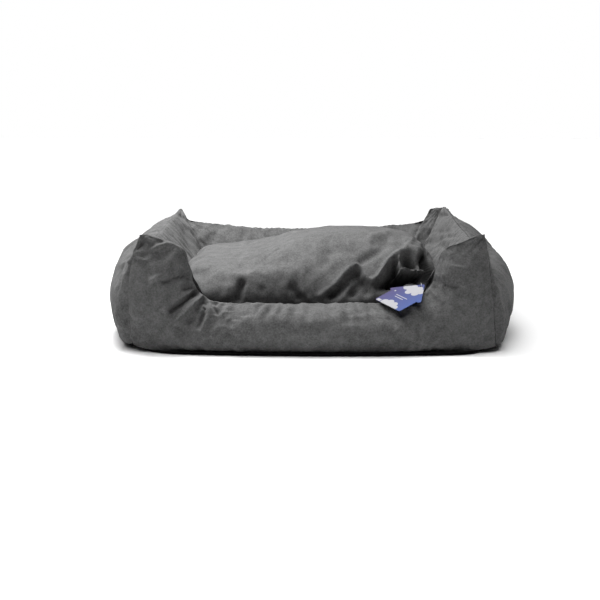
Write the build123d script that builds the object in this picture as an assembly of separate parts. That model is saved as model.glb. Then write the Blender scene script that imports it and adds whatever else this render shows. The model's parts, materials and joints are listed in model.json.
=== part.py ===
"""Rectangular bolster bed for a dog.

Four stuffed walls are sewn into a frame on a base cloth. The front wall dips to a low entry, and
the four corners rise to pointed ears. A loose, crowned cushion lies in the basin and lifts out. Its
cover opens with a moulded zip in the right side seam, and a card tag hangs by the entry on a nylon
loop. +X is to the right, +Y to the back, +Z up, and the origin is under the middle of the bed.
"""
import os
from math import asin, atan2, cos, pi, radians, sin

from build123d import *

# Overall size of the bed and height of its parts
bed_width = 1000.0
bed_depth = 800.0
ear_height = 255.0
side_dip = 19.0
back_dip = 55.0
entry_height = 104.0

# Walls: how far the feet bow out, how far the cloth bellies past them, and the foot's depth
side_bow = 40.0
front_bow = 25.0
side_belly = 37.0
front_belly = 20.0
ear_belly = 8.0
foot_depth = 150.0
side_bulge = 24.0
front_bulge = 26.0
ear_bulge = 20.0
side_crest_share = 0.385
front_crest_share = 0.40
ear_crest_share = 0.227
foot_handle_share = 0.30
crest_handle_share = 1.04
crest_handle_reach_share = 0.86
foot_handle_reach_share = 2.00

# Cloth and stuffing
cloth = 2.0
ease = 0.3
wadding_height = 10.0
station_shares = (0.0, 0.4, 0.7, 0.88, 1.0)
entry_station_shares = (
    0.0, 0.25, 0.5, 0.56, 0.61, 0.65, 0.69, 0.72, 0.74, 0.755, 0.77, 0.79, 0.83, 0.89, 0.95, 1.0)
entry_rise_shares = (
    0.0, 0.0, 0.0, 0.015, 0.045, 0.09, 0.165, 0.285, 0.425, 0.57, 0.68, 0.765, 0.85, 0.90, 0.945, 1.0)

# Cushion: where its seam and widest line lie, and the levels of its body
cushion_gap = 6.0
seam_height = 85.0
widest_height = 130.0
crown_height = 236.0
side_draw = 9.0
corner_share = 0.30
zip_band = 20.0
zip_draw_share = 0.87
under_reach_shares = (0.80, 0.88, 0.955)
under_depth_shares = (0.79, 0.835, 0.90)
under_rise_shares = (0.27, 0.61)
level_shares = (
    0.0, 0.05, 0.11, 0.18, 0.26, 0.34, 0.42, 0.50, 0.57, 0.65, 0.73, 0.80, 0.87, 0.93, 0.975, 1.0)
crown_rise_shares = (0.52, 0.93)
left_crown_shares = (0.985, 0.49, -0.20)
right_crown_shares = (1.02, 0.93, 0.49)
front_crown_shares = (1.0, 0.66, 0.22)
back_crown_shares = (1.0, 0.70, 0.26)

# Zip in the cushion's right side
zip_end_gap = 2.74
zip_pitch = 4.0
tooth_gap = 0.3
tooth_depth = 2.8
tooth_overlap = 1.1
tooth_hold = 1.7
tape_width = 14.0
tape_thickness = 0.8
tape_spare = 12.0
tape_edge = 2.4
slider_length = 13.0
slider_plate = 1.3
slider_play = 0.25
slider_nose = 11.4
slider_tail = 10.2
flange = 1.0
divider_length = 3.2
divider_width = 3.0
bail_length = 9.0
bail_width = 2.2
bail_bar = 1.2
bail_clear = 2.0
window_margin = 1.6
puller_length = 18.0
puller_width = 7.0
puller_thickness = 1.3
puller_eye = 7.5
puller_eye_width = 3.4
puller_tip_radius = 2.5
stop_length = 2.2

# Card tag and its nylon loop
tag_width = 88.0
tag_roof_width = 118.0
tag_body_length = 49.0
tag_roof_length = 63.0
tag_thickness = 0.6
tag_corner = 5.0
tag_hole = 5.4
tag_hole_inset = 12.0
tag_above = 2.0
tag_heading = 31.0
tag_lean = 8.8
loop_filament = 0.9
loop_play = 0.5
loop_station_share = 0.74
loop_anchor_share = 0.20
loop_left = 3.25
loop_forward = 16.61
loop_above = 6.22

# Places that follow from the sizes above
corner_x = bed_width / 2 - side_bow - side_belly
corner_y = bed_depth / 2 - front_bow - front_belly
basin_x = corner_x - foot_depth
basin_y = corner_y - foot_depth
floor_top = cloth + wadding_height + cloth
side_height = ear_height - side_dip
back_height = ear_height - back_dip
folder = "parts"
bisections = 40


def mix(low, high, share):
    """Value at a share of the way from low to high."""
    return low + (high - low) * share


def table(places, values, place):
    """Value at a place, in line between the table's entries."""
    for near, far, start, end in zip(places, places[1:], values, values[1:]):
        if place <= far:
            return mix(start, end, max(place - near, 0.0) / (far - near))
    return values[-1]


class Wall:
    """One stuffed wall: its heading, its length along the foot, and its section at each station."""

    def __init__(self, heading, half_length, reach, bow, belly, bulge, crest_share, height, stations):
        self.heading = heading
        self.half_length = half_length
        self.reach = reach
        self.bow = bow
        self.belly = belly
        self.bulge = bulge
        self.crest_share = crest_share
        self.height = height
        self.stations = sorted({-share for share in stations} | set(stations))
        self.ruled = stations is entry_station_shares

    def turned(self, along, out, up=0.0):
        """Point given along the wall and outwards from the bed's middle."""
        turn = radians(self.heading)
        return Vector(along * cos(turn) + out * sin(turn), along * sin(turn) - out * cos(turn), up)

    def feet(self, station):
        """Outer and inner foot of the wall at a station from -1 to 1."""
        bow = self.bow * (1 - station**2)
        outer = self.turned(station * self.half_length, self.reach + bow)
        inner = self.turned(station * (self.half_length - foot_depth), self.reach - foot_depth)
        return outer, inner

    def handles(self, station, retreat):
        """Control points of the outer and inner curves of the section at a station."""
        outer, inner = self.feet(station)
        width = (inner - outer).length
        fullness = 1 - abs(station) ** 3
        high = self.height(max(abs(station) - retreat / self.half_length, 0.0))
        crest = width * mix(ear_crest_share, self.crest_share, fullness)
        rise = high - cloth
        ear_low = crest / 3 - ear_belly
        ear_high = crest * 2 / 3 - ear_belly
        low = mix(ear_low, -self.belly * foot_handle_reach_share, fullness)
        top = mix(ear_high, -self.belly * crest_handle_reach_share, fullness)
        low_up = cloth + rise * mix(1 / 3, foot_handle_share, fullness)
        top_up = cloth + rise * mix(2 / 3, crest_handle_share, fullness)
        bulge = mix(ear_bulge, self.bulge, fullness) * 4 / 3
        near = (crest + (width - crest) / 3 + bulge, cloth + rise * 2 / 3)
        far = (crest + (width - crest) * 2 / 3 + bulge, cloth + rise / 3)
        outside = ((0.0, cloth), (low, low_up), (top, top_up), (crest, high))
        basin = ((crest, high), near, far, (width, cloth))
        return outside, basin

    def curve(self, station, inset, side):
        """Points of one side's curve at a station, set in from the cloth's face by inset."""
        curves = self.handles(station, inset)
        points = curve_points(curves[side], inset, 7 - 2 * side)
        seam = seam_point(curves, inset)
        if side == 0:
            points[-1] = seam
        else:
            points[0] = seam
        outer, inner = self.feet(station)
        across = (inner - outer).normalized()
        return [outer + across * place + Vector(0, 0, up) for place, up in points]

    def band(self, station, side):
        """Closed outline of one cloth panel at a station."""
        face = self.curve(station, 0.0, side)
        back = self.curve(station, cloth, side)[::-1]
        return Wire(arcs(face) + [Line(face[-1], back[0])] + arcs(back) + [Line(back[-1], face[0])])

    def core(self, station):
        """Closed outline of the stuffing at a station."""
        outside = self.curve(station, cloth + ease, 0)
        basin = self.curve(station, cloth + ease, 1)
        return Wire(arcs(outside) + arcs(basin) + [Line(basin[-1], outside[0])])

    def panel(self, side):
        """Cloth panel, 0 for the outer one and 1 for the basin's."""
        return Solid.make_loft([self.band(station, side) for station in self.stations], self.ruled)

    def filling(self):
        """Stuffing inside the wall, which ends just short of the corner seams."""
        short = 1 - ease / self.half_length
        return Solid.make_loft([self.core(min(max(s, -short), short)) for s in self.stations], self.ruled)


def bezier(handles, share):
    """Point and heading of a cubic curve at a share of its run."""
    a, b, c, d = handles
    rest = 1 - share
    point = [a[i] * rest**3 + 3 * b[i] * rest**2 * share + 3 * c[i] * rest * share**2 + d[i] * share**3
             for i in (0, 1)]
    slope = [(b[i] - a[i]) * rest**2 + 2 * (c[i] - b[i]) * rest * share + (d[i] - c[i]) * share**2
             for i in (0, 1)]
    return point, atan2(slope[1], slope[0])


def curve_points(handles, inset, count):
    """Points along a curve that starts or ends on the base, moved to its right by inset."""
    points = []
    for index in range(count):
        (place, up), heading = bezier(handles, index / (count - 1))
        if up <= cloth:
            points.append((place + inset / sin(heading), up))
        else:
            points.append((place + inset * sin(heading), up - inset * cos(heading)))
    return points


def seam_point(curves, inset):
    """Crest point where the set-in outer and inner curves meet."""
    (place, up), before = bezier(curves[0], 1.0)
    after = bezier(curves[1], 0.0)[1]
    middle = (before + after) / 2
    reach = inset / cos((before - after) / 2)
    return place + reach * sin(middle), up - reach * cos(middle)


def arcs(points):
    """Arcs through each three points in turn."""
    return [ThreePointArc(*points[i:i + 3]) for i in range(0, len(points) - 2, 2)]


def side_crest(station):
    """Crest height along a side wall."""
    return mix(side_height, ear_height, 0.25 * station**2 + 0.75 * station**12)


def back_crest(station):
    """Crest height along the back wall."""
    return mix(back_height, ear_height, 0.55 * station**2 + 0.45 * station**12)


def entry_crest(station):
    """Crest height along the front wall, low at the entry."""
    return mix(entry_height, ear_height, table(entry_station_shares, entry_rise_shares, station))


def make_walls():
    """The four walls by name."""
    front = (corner_x, corner_y, front_bow, front_belly, front_bulge, front_crest_share)
    side = (corner_y, corner_x, side_bow, side_belly, side_bulge, side_crest_share)
    return {
        "front": Wall(0, *front, entry_crest, entry_station_shares),
        "right": Wall(90, *side, side_crest, station_shares),
        "back": Wall(180, *front, back_crest, station_shares),
        "left": Wall(-90, *side, side_crest, station_shares),
    }


def base_cloth():
    """Cloth that the walls are sewn to, bowed like their feet."""
    corners = [(corner_x, -corner_y), (corner_x, corner_y), (-corner_x, corner_y), (-corner_x, -corner_y)]
    middles = [(corner_x + side_bow, 0), (0, corner_y + front_bow), (-corner_x - side_bow, 0),
               (0, -corner_y - front_bow)]
    edges = [ThreePointArc(corners[i], middles[i], corners[(i + 1) % 4]) for i in range(4)]
    return extrude(Face(Wire(edges)), cloth)


def floor_layer(bottom, height):
    """Flat layer of the basin's floor."""
    size = (2 * (basin_x - ease), 2 * (basin_y - ease), height)
    return Pos(0, 0, bottom) * Box(*size, align=(Align.CENTER, Align.CENTER, Align.MIN))


def basin_half(foot, bow, crest_share, crest_up, bulge, up):
    """Half the basin's clear width at a height, at the middle of a wall."""
    crest = foot + foot_depth + bow - crest_share * (foot_depth + bow)
    share = up / crest_up
    return mix(foot, crest, share) - 4 * bulge * share * (1 - share)


def cushion_sides():
    """Upright curves of the cushion's left, right, front and back, as reach and height."""
    half_x = basin_half(basin_x, side_bow, side_crest_share, side_height, side_bulge, widest_height)
    half_y = basin_half(basin_y, front_bow, front_crest_share, back_height, front_bulge, widest_height)
    half_x -= cushion_gap
    half_y -= cushion_gap
    bottom = floor_top + ease
    low, high = [mix(bottom, widest_height, share) for share in under_rise_shares]
    crown_low, crown_high = [mix(widest_height, crown_height, share) for share in crown_rise_shares]

    def under(half, shares):
        foot, near, far = shares
        return (half * foot, bottom), (half * near, low), (half * far, high), (half, widest_height)

    def crown(half, shares):
        near, far, peak = shares
        side = (half, widest_height), (half * near, crown_low), (half * far, crown_high)
        return *side, (half * peak, crown_height)

    drawn = half_x * zip_draw_share
    foot = half_x * under_reach_shares[0]
    below, above = seam_height - zip_band, seam_height + zip_band
    middle = (above + widest_height) / 2
    right = [
        ((foot, bottom), ((foot + drawn) / 2, bottom), (drawn, low), (drawn, below)),
        ((drawn, below), (drawn, below + zip_band / 2), (drawn, above - zip_band / 2), (drawn, above)),
        ((drawn, above), (drawn, middle), (half_x, middle), (half_x, widest_height)),
    ]
    return (
        [under(half_x, under_reach_shares), crown(half_x, left_crown_shares)],
        right + [crown(half_x, right_crown_shares)],
        [under(half_y, under_depth_shares), crown(half_y, front_crown_shares)],
        [under(half_y, under_depth_shares), crown(half_y, back_crown_shares)],
    )


def reach_at(curves, up, inset):
    """Reach of an upright line of curves at a height, set in from its outside by inset."""
    for handles in curves:
        low, high = 0.0, 1.0
        for _ in range(bisections):
            share = (low + high) / 2
            (reach, height), heading = bezier(handles, share)
            if height + inset * cos(heading) < up:
                low = share
            else:
                high = share
        if high < 1.0:
            break
    return reach - inset * sin(heading)


def cushion_levels(inset):
    """Levels of the cushion from the bottom up: height, then left, right, front and back reach."""
    bottom, top = floor_top + ease + inset, crown_height - inset
    fixed = (seam_height - zip_band, seam_height + zip_band)
    heights = sorted([mix(bottom, top, share) for share in level_shares] + list(fixed))
    sides = cushion_sides()
    return [(up, *[reach_at(curves, up, inset) for curves in sides]) for up in heights]


def cushion_outline(level):
    """Rounded outline of the cushion at one level, drawn in between its corners."""
    up, left, right, front, back = level
    middle = (right - left) / 2
    corner = corner_radius(left, right, front, back)
    cut = corner * (1 - cos(pi / 4))
    draw = side_draw * corner / (corner_share * basin_y)

    def at(x, y):
        return Vector(x, y, up)

    depth = (back - front) / 2
    ends = [at(right, corner - front), at(right, back - corner), at(right - corner, back),
            at(corner - left, back), at(-left, back - corner), at(-left, corner - front),
            at(corner - left, -front), at(right - corner, -front)]
    middles = [at(right - cut, back - cut), at(middle, back - draw), at(cut - left, back - cut),
               at(draw - left, depth), at(cut - left, cut - front), at(middle, draw / 3 - front),
               at(right - cut, cut - front)]
    curved = zip(ends[1:], middles, ends[2:] + ends[:1])
    return Wire([Line(ends[0], ends[1])] + [ThreePointArc(*points) for points in curved])


def corner_radius(left, right, front, back):
    """Radius of the cushion's corners at a level, from its reach to each side."""
    return corner_share * min(right + left, front + back) / 2


def cushion_body(inset):
    """Closed body of the cushion, set in from its outside by inset."""
    return Solid.make_loft([cushion_outline(level) for level in cushion_levels(inset)], ruled=True)


def straight_half(up):
    """Half the straight part of the cushion's right side at a height."""
    left, right, front, back = [reach_at(curves, up, 0.0) for curves in cushion_sides()]
    return min(front, back) - corner_radius(left, right, front, back)


def block(x, y, z):
    """Box between the given low and high places along each axis."""
    size = (x[1] - x[0], y[1] - y[0], z[1] - z[0])
    place = Pos((x[0] + x[1]) / 2, (y[0] + y[1]) / 2, (z[0] + z[1]) / 2)
    return place * Box(*size)


# Places along the zip, which runs in Y at the seam's height
zip_face = reach_at(cushion_sides()[1], seam_height, 0.0)
zip_plane = zip_face - cloth - ease - tape_thickness / 2
zip_half = straight_half(seam_height) - tape_spare - zip_end_gap
slider_middle = zip_half - ease - slider_length / 2
slider_travel = 2 * slider_middle
slider_half_depth = tooth_depth / 2 + slider_play
window_half = slider_nose / 2 + window_margin
window_end = zip_half + stop_length + ease
puller_axis = zip_plane + slider_half_depth + slider_plate + bail_clear / 2


def cushion_covers():
    """Top and bottom covers, split at the seam, with the zip's opening cut in the right side."""
    shell = cushion_body(0.0) - cushion_body(cloth)
    reach = cloth + tooth_depth
    opening = block((zip_face - reach, zip_face + reach), (-window_end, window_end),
                    (seam_height - window_half, seam_height + window_half))
    shell = shell - opening
    seam = Plane.XY.offset(seam_height)
    return split(shell, bisect_by=seam, keep=Keep.TOP), split(shell, bisect_by=seam, keep=Keep.BOTTOM)


def cushion_filling():
    """Stuffing of the cushion, hollowed behind the zip for its tapes and slider."""
    back = zip_plane - slider_half_depth - slider_plate - ease
    end = zip_half + tape_spare + ease
    edge = tape_edge + tape_width + ease
    room = block((back, zip_face + cloth), (-end, end), (seam_height - edge, seam_height + edge))
    return cushion_body(cloth + ease) - room


def zip_tape(side):
    """Zip tape with its row of moulded teeth: 1 for the upper one, -1 for the lower."""
    low, high = sorted((seam_height + side * tape_edge, seam_height + side * (tape_edge + tape_width)))
    half = tape_thickness / 2
    reach = zip_half + tape_spare
    tape = block((zip_plane - half, zip_plane + half), (-reach, reach), (low, high))
    width = zip_pitch / 2 - tooth_gap
    foot, tip = sorted((seam_height + side * (tape_edge + tooth_hold), seam_height - side * tooth_overlap))
    last = slider_middle + slider_length / 2 - divider_length - slider_play
    first = -zip_half + ease + width / 2 + (zip_pitch / 2 if side < 0 else 0.0)
    count = int((last - first - width / 2) / zip_pitch) + 1
    tooth = block((zip_plane - tooth_depth / 2, zip_plane + tooth_depth / 2), (-width / 2, width / 2),
                  (foot, tip))
    return tape + [Pos(0, first + index * zip_pitch, 0) * tooth for index in range(count)]


def zip_stops():
    """Moulded stops at both ends of the row of teeth."""
    half = tooth_depth / 2
    reach = tape_edge + tooth_hold
    across = (seam_height - reach, seam_height + reach)
    ends = [(-zip_half - stop_length, -zip_half), (zip_half, zip_half + stop_length)]
    return [block((zip_plane - half, zip_plane + half), end, across) for end in ends]


def upright(points, low, high):
    """Plate with an outline in Y and Z, between two places in X."""
    outline = Polyline(*[(low, y, z) for y, z in points], close=True)
    return extrude(Face(Wire(outline.edges())), high - low, dir=(1, 0, 0))


def zip_slider():
    """Slider: two plates with turned-in flanges, the divider between them, and the puller's bail."""
    tail = slider_middle - slider_length / 2
    nose = slider_middle + slider_length / 2
    near = zip_plane + slider_half_depth
    far = zip_plane - slider_half_depth
    outline = [(tail, seam_height - slider_tail / 2), (nose, seam_height - slider_nose / 2),
               (nose, seam_height + slider_nose / 2), (tail, seam_height + slider_tail / 2)]
    body = upright(outline, near, near + slider_plate) + upright(outline, far - slider_plate, far)
    slot = tape_thickness / 2 + slider_play
    for side in (-1, 1):
        rim = [(tail, seam_height + side * (slider_tail / 2 - flange)),
               (nose, seam_height + side * (slider_nose / 2 - flange)),
               (nose, seam_height + side * slider_nose / 2), (tail, seam_height + side * slider_tail / 2)]
        body = body + upright(rim, zip_plane + slot, near) + upright(rim, far, zip_plane - slot)
    divider = [(nose, seam_height - divider_width / 2), (nose, seam_height + divider_width / 2),
               (nose - divider_length, seam_height)]
    body = body + upright(divider, far, near)
    top = near + slider_plate
    low, high = slider_middle - bail_length / 2, slider_middle + bail_length / 2
    across = (seam_height - bail_width / 2, seam_height + bail_width / 2)
    arch = block((top, top + bail_clear + bail_bar), (low, high), across)
    arch = arch - block((top, top + bail_clear), (low + bail_bar, high - bail_bar), across)
    return body + arch


def zip_puller():
    """Puller: a tab with an eye, whose end bar turns under the slider's bail."""
    half = puller_thickness / 2
    start = slider_middle
    tab = block((puller_axis - half, puller_axis + half), (start - puller_length, start),
                (seam_height - puller_width / 2, seam_height + puller_width / 2))
    tips = tab.edges().filter_by(Axis.X).group_by(Axis.Y)[0]
    tab = fillet(tips, puller_tip_radius)
    eye = block((puller_axis - half, puller_axis + half), (start - puller_eye, start),
                (seam_height - puller_eye_width / 2, seam_height + puller_eye_width / 2))
    bar = Pos(puller_axis, start, seam_height) * Cylinder(half, puller_width)
    return tab - eye + bar


def wall_point(wall, station, side, share, inset=0.0):
    """Point of a wall's outer (0) or inner (1) curve at a station, set in from its face by inset."""
    (place, up), heading = bezier(wall.handles(station, 0.0)[side], share)
    outer, inner = wall.feet(station)
    across = (inner - outer).normalized()
    return outer + across * (place + inset * sin(heading)) + Vector(0, 0, up - inset * cos(heading))


def loop_ends():
    """Where the loop carries the tag, in its hole, and where it passes through the wall's inner cloth."""
    anchor = wall_point(make_walls()["front"], loop_station_share, 1, loop_anchor_share, cloth / 2)
    return anchor + Vector(-loop_left, -loop_forward, loop_above), anchor


def hole_height():
    """Height of the tag's hole above its foot."""
    return tag_body_length + tag_roof_length - tag_hole_inset


def tag_place():
    """Plane of the tag, whose X is the tag's width and Y runs from its foot to its peak."""
    hole = loop_ends()[0]
    seat = hole_height() + (tag_hole - loop_filament) / 2 - loop_play
    climb = asin((hole.Z - entry_height - tag_above - tag_thickness / 2) / seat)
    turn = radians(tag_heading)
    upwards = Vector(cos(climb) * cos(turn), cos(climb) * sin(turn), sin(climb))
    flat = Vector(sin(turn), -cos(turn), 0)
    normal = flat.cross(upwards).rotate(Axis((0, 0, 0), upwards), tag_lean)
    origin = hole - upwards * seat - normal * (tag_thickness / 2)
    return Plane(origin=origin, x_dir=upwards.cross(normal), z_dir=normal)


def tag_card():
    """House-shaped card with a hole near its peak."""
    half, roof = tag_width / 2, tag_roof_width / 2
    eaves = tag_body_length
    points = [(-half, 0), (half, 0), (half, eaves), (roof, eaves), (0, eaves + tag_roof_length),
              (-roof, eaves), (-half, eaves)]
    card = extrude(Face(Wire(Polyline(*points, close=True).edges())), tag_thickness)
    upright = card.edges().filter_by(Axis.Z)
    shoulders = upright.filter_by(lambda edge: edge.center().Y == eaves and abs(edge.center().X) == half)
    card = fillet(upright - shoulders, tag_corner)
    card = card - Pos(0, hole_height(), tag_thickness / 2) * Cylinder(tag_hole / 2, tag_thickness * 2)
    return tag_place() * card


def tag_loop():
    """Closed nylon loop from the tag's hole to the wall's cloth."""
    hole, anchor = loop_ends()
    run = anchor - hole
    normal = run.cross(tag_place().z_dir).normalized()
    ring = Plane(origin=(hole + anchor) / 2, x_dir=run.normalized(), z_dir=normal)
    return ring * Torus(run.length / 2, loop_filament / 2)


def write(name, shape):
    """Write one sub-part as a STEP file."""
    export_step(shape, f"{folder}/{name}.step")


def main():
    """Build every sub-part and write it."""
    os.makedirs(folder, exist_ok=True)
    for name, wall in make_walls().items():
        write(f"{name}_outer_panel", wall.panel(0))
        write(f"{name}_inner_panel", wall.panel(1))
        write(f"{name}_filling", wall.filling())
    write("base_cloth", base_cloth())
    write("floor_wadding", floor_layer(cloth, wadding_height))
    write("floor_cloth", floor_layer(cloth + wadding_height, cloth))
    top, bottom = cushion_covers()
    write("cushion_top_cover", top)
    write("cushion_bottom_cover", bottom)
    write("cushion_filling", cushion_filling())
    write("cushion_zip_upper_tape", zip_tape(1))
    write("cushion_zip_lower_tape", zip_tape(-1))
    write("cushion_zip_stops", Compound(zip_stops()))
    write("cushion_zip_slider", zip_slider())
    write("cushion_zip_puller", zip_puller())
    write("tag_card", tag_card())
    write("tag_loop", tag_loop())
    place = tag_place()
    print("tag hinge at", tuple(loop_ends()[0]))
    print("tag hinge axis", tuple(-place.x_dir), "normal", tuple(place.z_dir))
    print("zip slider travel", slider_travel, "puller axis", puller_axis, slider_middle)


main()
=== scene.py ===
"""Looks of a rectangular bolster bed for a dog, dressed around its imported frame.

Four stuffed walls of suede-like cloth stand on a base cloth. The front wall dips to a low entry, and
the corners rise to pointed ears. A loose, crowned cushion with a zipped cover lies in the basin, and
a card tag hangs by the entry on a nylon loop. All sizes are in metres, +X to the right, +Y to the
back, +Z up, with the origin under the middle of the bed.
"""
from __future__ import annotations

import json
import logging
from dataclasses import dataclass
from enum import Enum
from functools import reduce
from math import cos, pi, radians, sin
from typing import Any, Callable, Sequence

import bpy
import numpy as np
from mathutils import Euler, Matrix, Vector

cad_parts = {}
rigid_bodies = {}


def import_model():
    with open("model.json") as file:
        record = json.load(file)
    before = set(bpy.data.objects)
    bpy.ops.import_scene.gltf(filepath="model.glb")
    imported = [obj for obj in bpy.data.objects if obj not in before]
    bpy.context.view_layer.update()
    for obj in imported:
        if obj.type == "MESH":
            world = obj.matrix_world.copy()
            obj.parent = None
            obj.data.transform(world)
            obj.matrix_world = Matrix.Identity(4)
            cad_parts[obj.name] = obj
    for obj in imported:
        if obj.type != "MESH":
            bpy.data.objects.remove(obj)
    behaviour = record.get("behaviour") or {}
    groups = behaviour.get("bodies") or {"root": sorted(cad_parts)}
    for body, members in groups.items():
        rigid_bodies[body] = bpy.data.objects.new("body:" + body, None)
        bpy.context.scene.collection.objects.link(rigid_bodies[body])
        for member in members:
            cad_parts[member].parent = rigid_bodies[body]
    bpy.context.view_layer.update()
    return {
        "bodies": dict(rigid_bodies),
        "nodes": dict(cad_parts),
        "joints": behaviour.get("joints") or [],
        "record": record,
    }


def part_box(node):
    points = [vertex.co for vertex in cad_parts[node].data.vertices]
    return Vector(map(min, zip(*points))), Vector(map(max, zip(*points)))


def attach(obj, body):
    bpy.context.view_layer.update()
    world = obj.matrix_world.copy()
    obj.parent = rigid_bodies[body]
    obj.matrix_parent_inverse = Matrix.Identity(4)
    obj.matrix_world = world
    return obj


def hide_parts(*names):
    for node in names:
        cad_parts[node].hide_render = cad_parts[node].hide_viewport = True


log = logging.getLogger("dog_bed")

Numbers = np.ndarray
Pixel = tuple[float, float]
Pair = tuple[float, float]
Spot = tuple[float, float, float]
Colour = tuple[float, float, float, float]


class Side(Enum):
    """The four walls, by the way that each one faces, in degrees from the front."""

    FRONT = 0.0
    RIGHT = 90.0
    BACK = 180.0
    LEFT = -90.0


def mix(low: Any, high: Any, share: Any) -> Any:
    """Value at a share of the way from low to high."""
    return low + (high - low) * share


def smooth(share: Numbers) -> Numbers:
    """Share from 0 to 1, eased at both ends."""
    held = np.clip(share, 0.0, 1.0)
    return held * held * (3.0 - 2.0 * held)


def hump(distance: Numbers, width: float) -> Numbers:
    """Bell curve of height 1 over a distance."""
    return np.exp(-(distance / width) ** 2)


def bell(value: Numbers, middle: float, width: float) -> Numbers:
    """Bell curve of height 1 round a middle."""
    return hump(value - middle, width)


def ramp(value: Numbers, start: float, width: float) -> Numbers:
    """0 up to a start, 1 from a width above it, and eased in between."""
    return smooth((value - start) / width)


def lengths(vectors: Numbers) -> Numbers:
    """Length of each vector in the last axis, which stays."""
    return np.linalg.norm(vectors, axis=-1, keepdims=True)


def cubic(start: Any, near: Any, far: Any, end: Any, share: Numbers) -> Numbers:
    """Values of cubic curves.

    Args:
        start: Where each curve starts.
        near: Its handle near the start.
        far: Its handle near the end.
        end: Where it ends.
        share: Share of the way along it.

    Returns:
        The value at each share.
    """
    rest = 1.0 - share
    return start * rest**3 + 3 * near * rest**2 * share + 3 * far * rest * share**2 + end * share**3


def ripple(place: Numbers, spacing: float, seed: int, waves: int = 9) -> Numbers:
    """Uneven wave along a line, from about -1 to 1.

    Args:
        place: Places along the line.
        spacing: Usual distance from one crest to the next.
        seed: Which wave to draw.
        waves: How many plain waves make it up.

    Returns:
        Height of the wave at each place.
    """
    draw = np.random.default_rng(seed)
    rates = draw.uniform(0.6, 1.6, waves) / spacing
    shifts = draw.uniform(0.0, 2 * pi, waves)
    total = sum(np.sin(2 * pi * rate * place + shift) for rate, shift in zip(rates, shifts))
    return total / np.sqrt(waves / 2) / 2


def swell(x: Numbers, y: Numbers, spacing: float, seed: int, waves: int = 14) -> Numbers:
    """Uneven waves over a surface, from about -1 to 1.

    Args:
        x: Places along the surface.
        y: Places across it.
        spacing: Usual distance from one crest to the next.
        seed: Which waves to draw.
        waves: How many plain waves make it up.

    Returns:
        Height of the waves at each place.
    """
    draw = np.random.default_rng(seed)
    turns = draw.uniform(0.0, 2 * pi, waves)
    rates = draw.uniform(0.6, 1.5, waves) / spacing
    shifts = draw.uniform(0.0, 2 * pi, waves)
    total = 0.0
    for turn, rate, shift in zip(turns, rates, shifts):
        total = total + np.sin(2 * pi * rate * (x * cos(turn) + y * sin(turn)) + shift)
    return total / np.sqrt(waves / 2) / 2


@dataclass(frozen=True)
class Viewpoint:
    """Where the photograph was taken from, with its focal length in pixels."""

    place: Spot = (0.0, -2.2601, 0.5018)
    pitch: float = 11.35
    yaw: float = 0.79
    focal: float = 873.5
    frame: float = 600.0
    sensor: float = 36.0
    turned_away: float = -0.05
    turned_to: float = 0.20

    def axes(self) -> Numbers:
        """Rows that point right, up and ahead."""
        pitch, yaw = radians(self.pitch), radians(self.yaw)
        ahead = np.array([-sin(yaw) * cos(pitch), cos(yaw) * cos(pitch), -sin(pitch)])
        right = np.array([cos(yaw), sin(yaw), 0.0])
        return np.array([right, np.cross(right, ahead), ahead])

    def pixels(self, points: Numbers) -> Numbers:
        """Pixel of each point, from the frame's top left corner."""
        seen = (points - np.array(self.place)) @ self.axes().T
        middle = self.frame / 2
        across = middle + self.focal * seen[:, 0] / seen[:, 2]
        down = middle - self.focal * seen[:, 1] / seen[:, 2]
        return np.stack([across, down], 1)

    def facing(self, points: Numbers, normals: Numbers) -> Numbers:
        """1 where a surface faces the viewpoint, 0 where it is turned away."""
        rays = np.array(self.place) - points
        turned = np.sum(rays / lengths(rays) * normals, 1)
        return ramp(turned, self.turned_away, self.turned_to - self.turned_away)

    def camera(self) -> None:
        """Adds the camera and makes it the scene's own."""
        turn = Euler((radians(90.0 - self.pitch), 0.0, radians(self.yaw)))
        bpy.ops.object.camera_add(location=self.place, rotation=turn)
        camera = bpy.context.active_object
        camera.name = "camera"
        camera.data.sensor_width = self.sensor
        camera.data.lens = self.focal / self.frame * self.sensor
        bpy.context.scene.camera = camera


@dataclass(frozen=True)
class Crease:
    """A fold in the cloth, placed by the pixels that it runs through.

    Attributes:
        run: Pixels along the fold.
        width: Half-width of the fold, in pixels.
        rise: Height of the fold in metres, below zero for a valley.
        start: Share of the height at the first pixel.
        end: Share of the height at the last pixel.
    """

    run: tuple[Pixel, ...]
    width: float
    rise: float
    start: float = 1.0
    end: float = 1.0

    def height(self, pixels: Numbers) -> Numbers:
        """Height of the fold at each pixel."""
        corners = np.array(self.run)
        legs = np.linalg.norm(np.diff(corners, axis=0), axis=1)
        travelled = np.concatenate([[0.0], np.cumsum(legs)]) / legs.sum()
        best = np.full(len(pixels), np.inf)
        share = np.zeros(len(pixels))
        for index, (near, far) in enumerate(zip(corners, corners[1:])):
            along = far - near
            place = np.clip((pixels - near) @ along / (along @ along), 0.0, 1.0)
            distance = np.linalg.norm(pixels - near - place[:, None] * along, axis=1)
            closer = distance < best
            best = np.where(closer, distance, best)
            share = np.where(closer, mix(travelled[index], travelled[index + 1], place), share)
        return self.rise * mix(self.start, self.end, share) * hump(best, self.width)


def folded(creases: Sequence[Crease], pixels: Numbers) -> Numbers:
    """Height of several folds together at each pixel."""
    return sum((crease.height(pixels) for crease in creases), np.zeros(len(pixels)))


# Dent below the front left ear, which the front and the left wall share
EAR_DENT = Crease(((141.0, 243.0), (132.0, 248.5), (124.0, 257.0), (118.0, 262.0)),
                  3.5, -0.0110, 0.8, 0.6)

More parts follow.
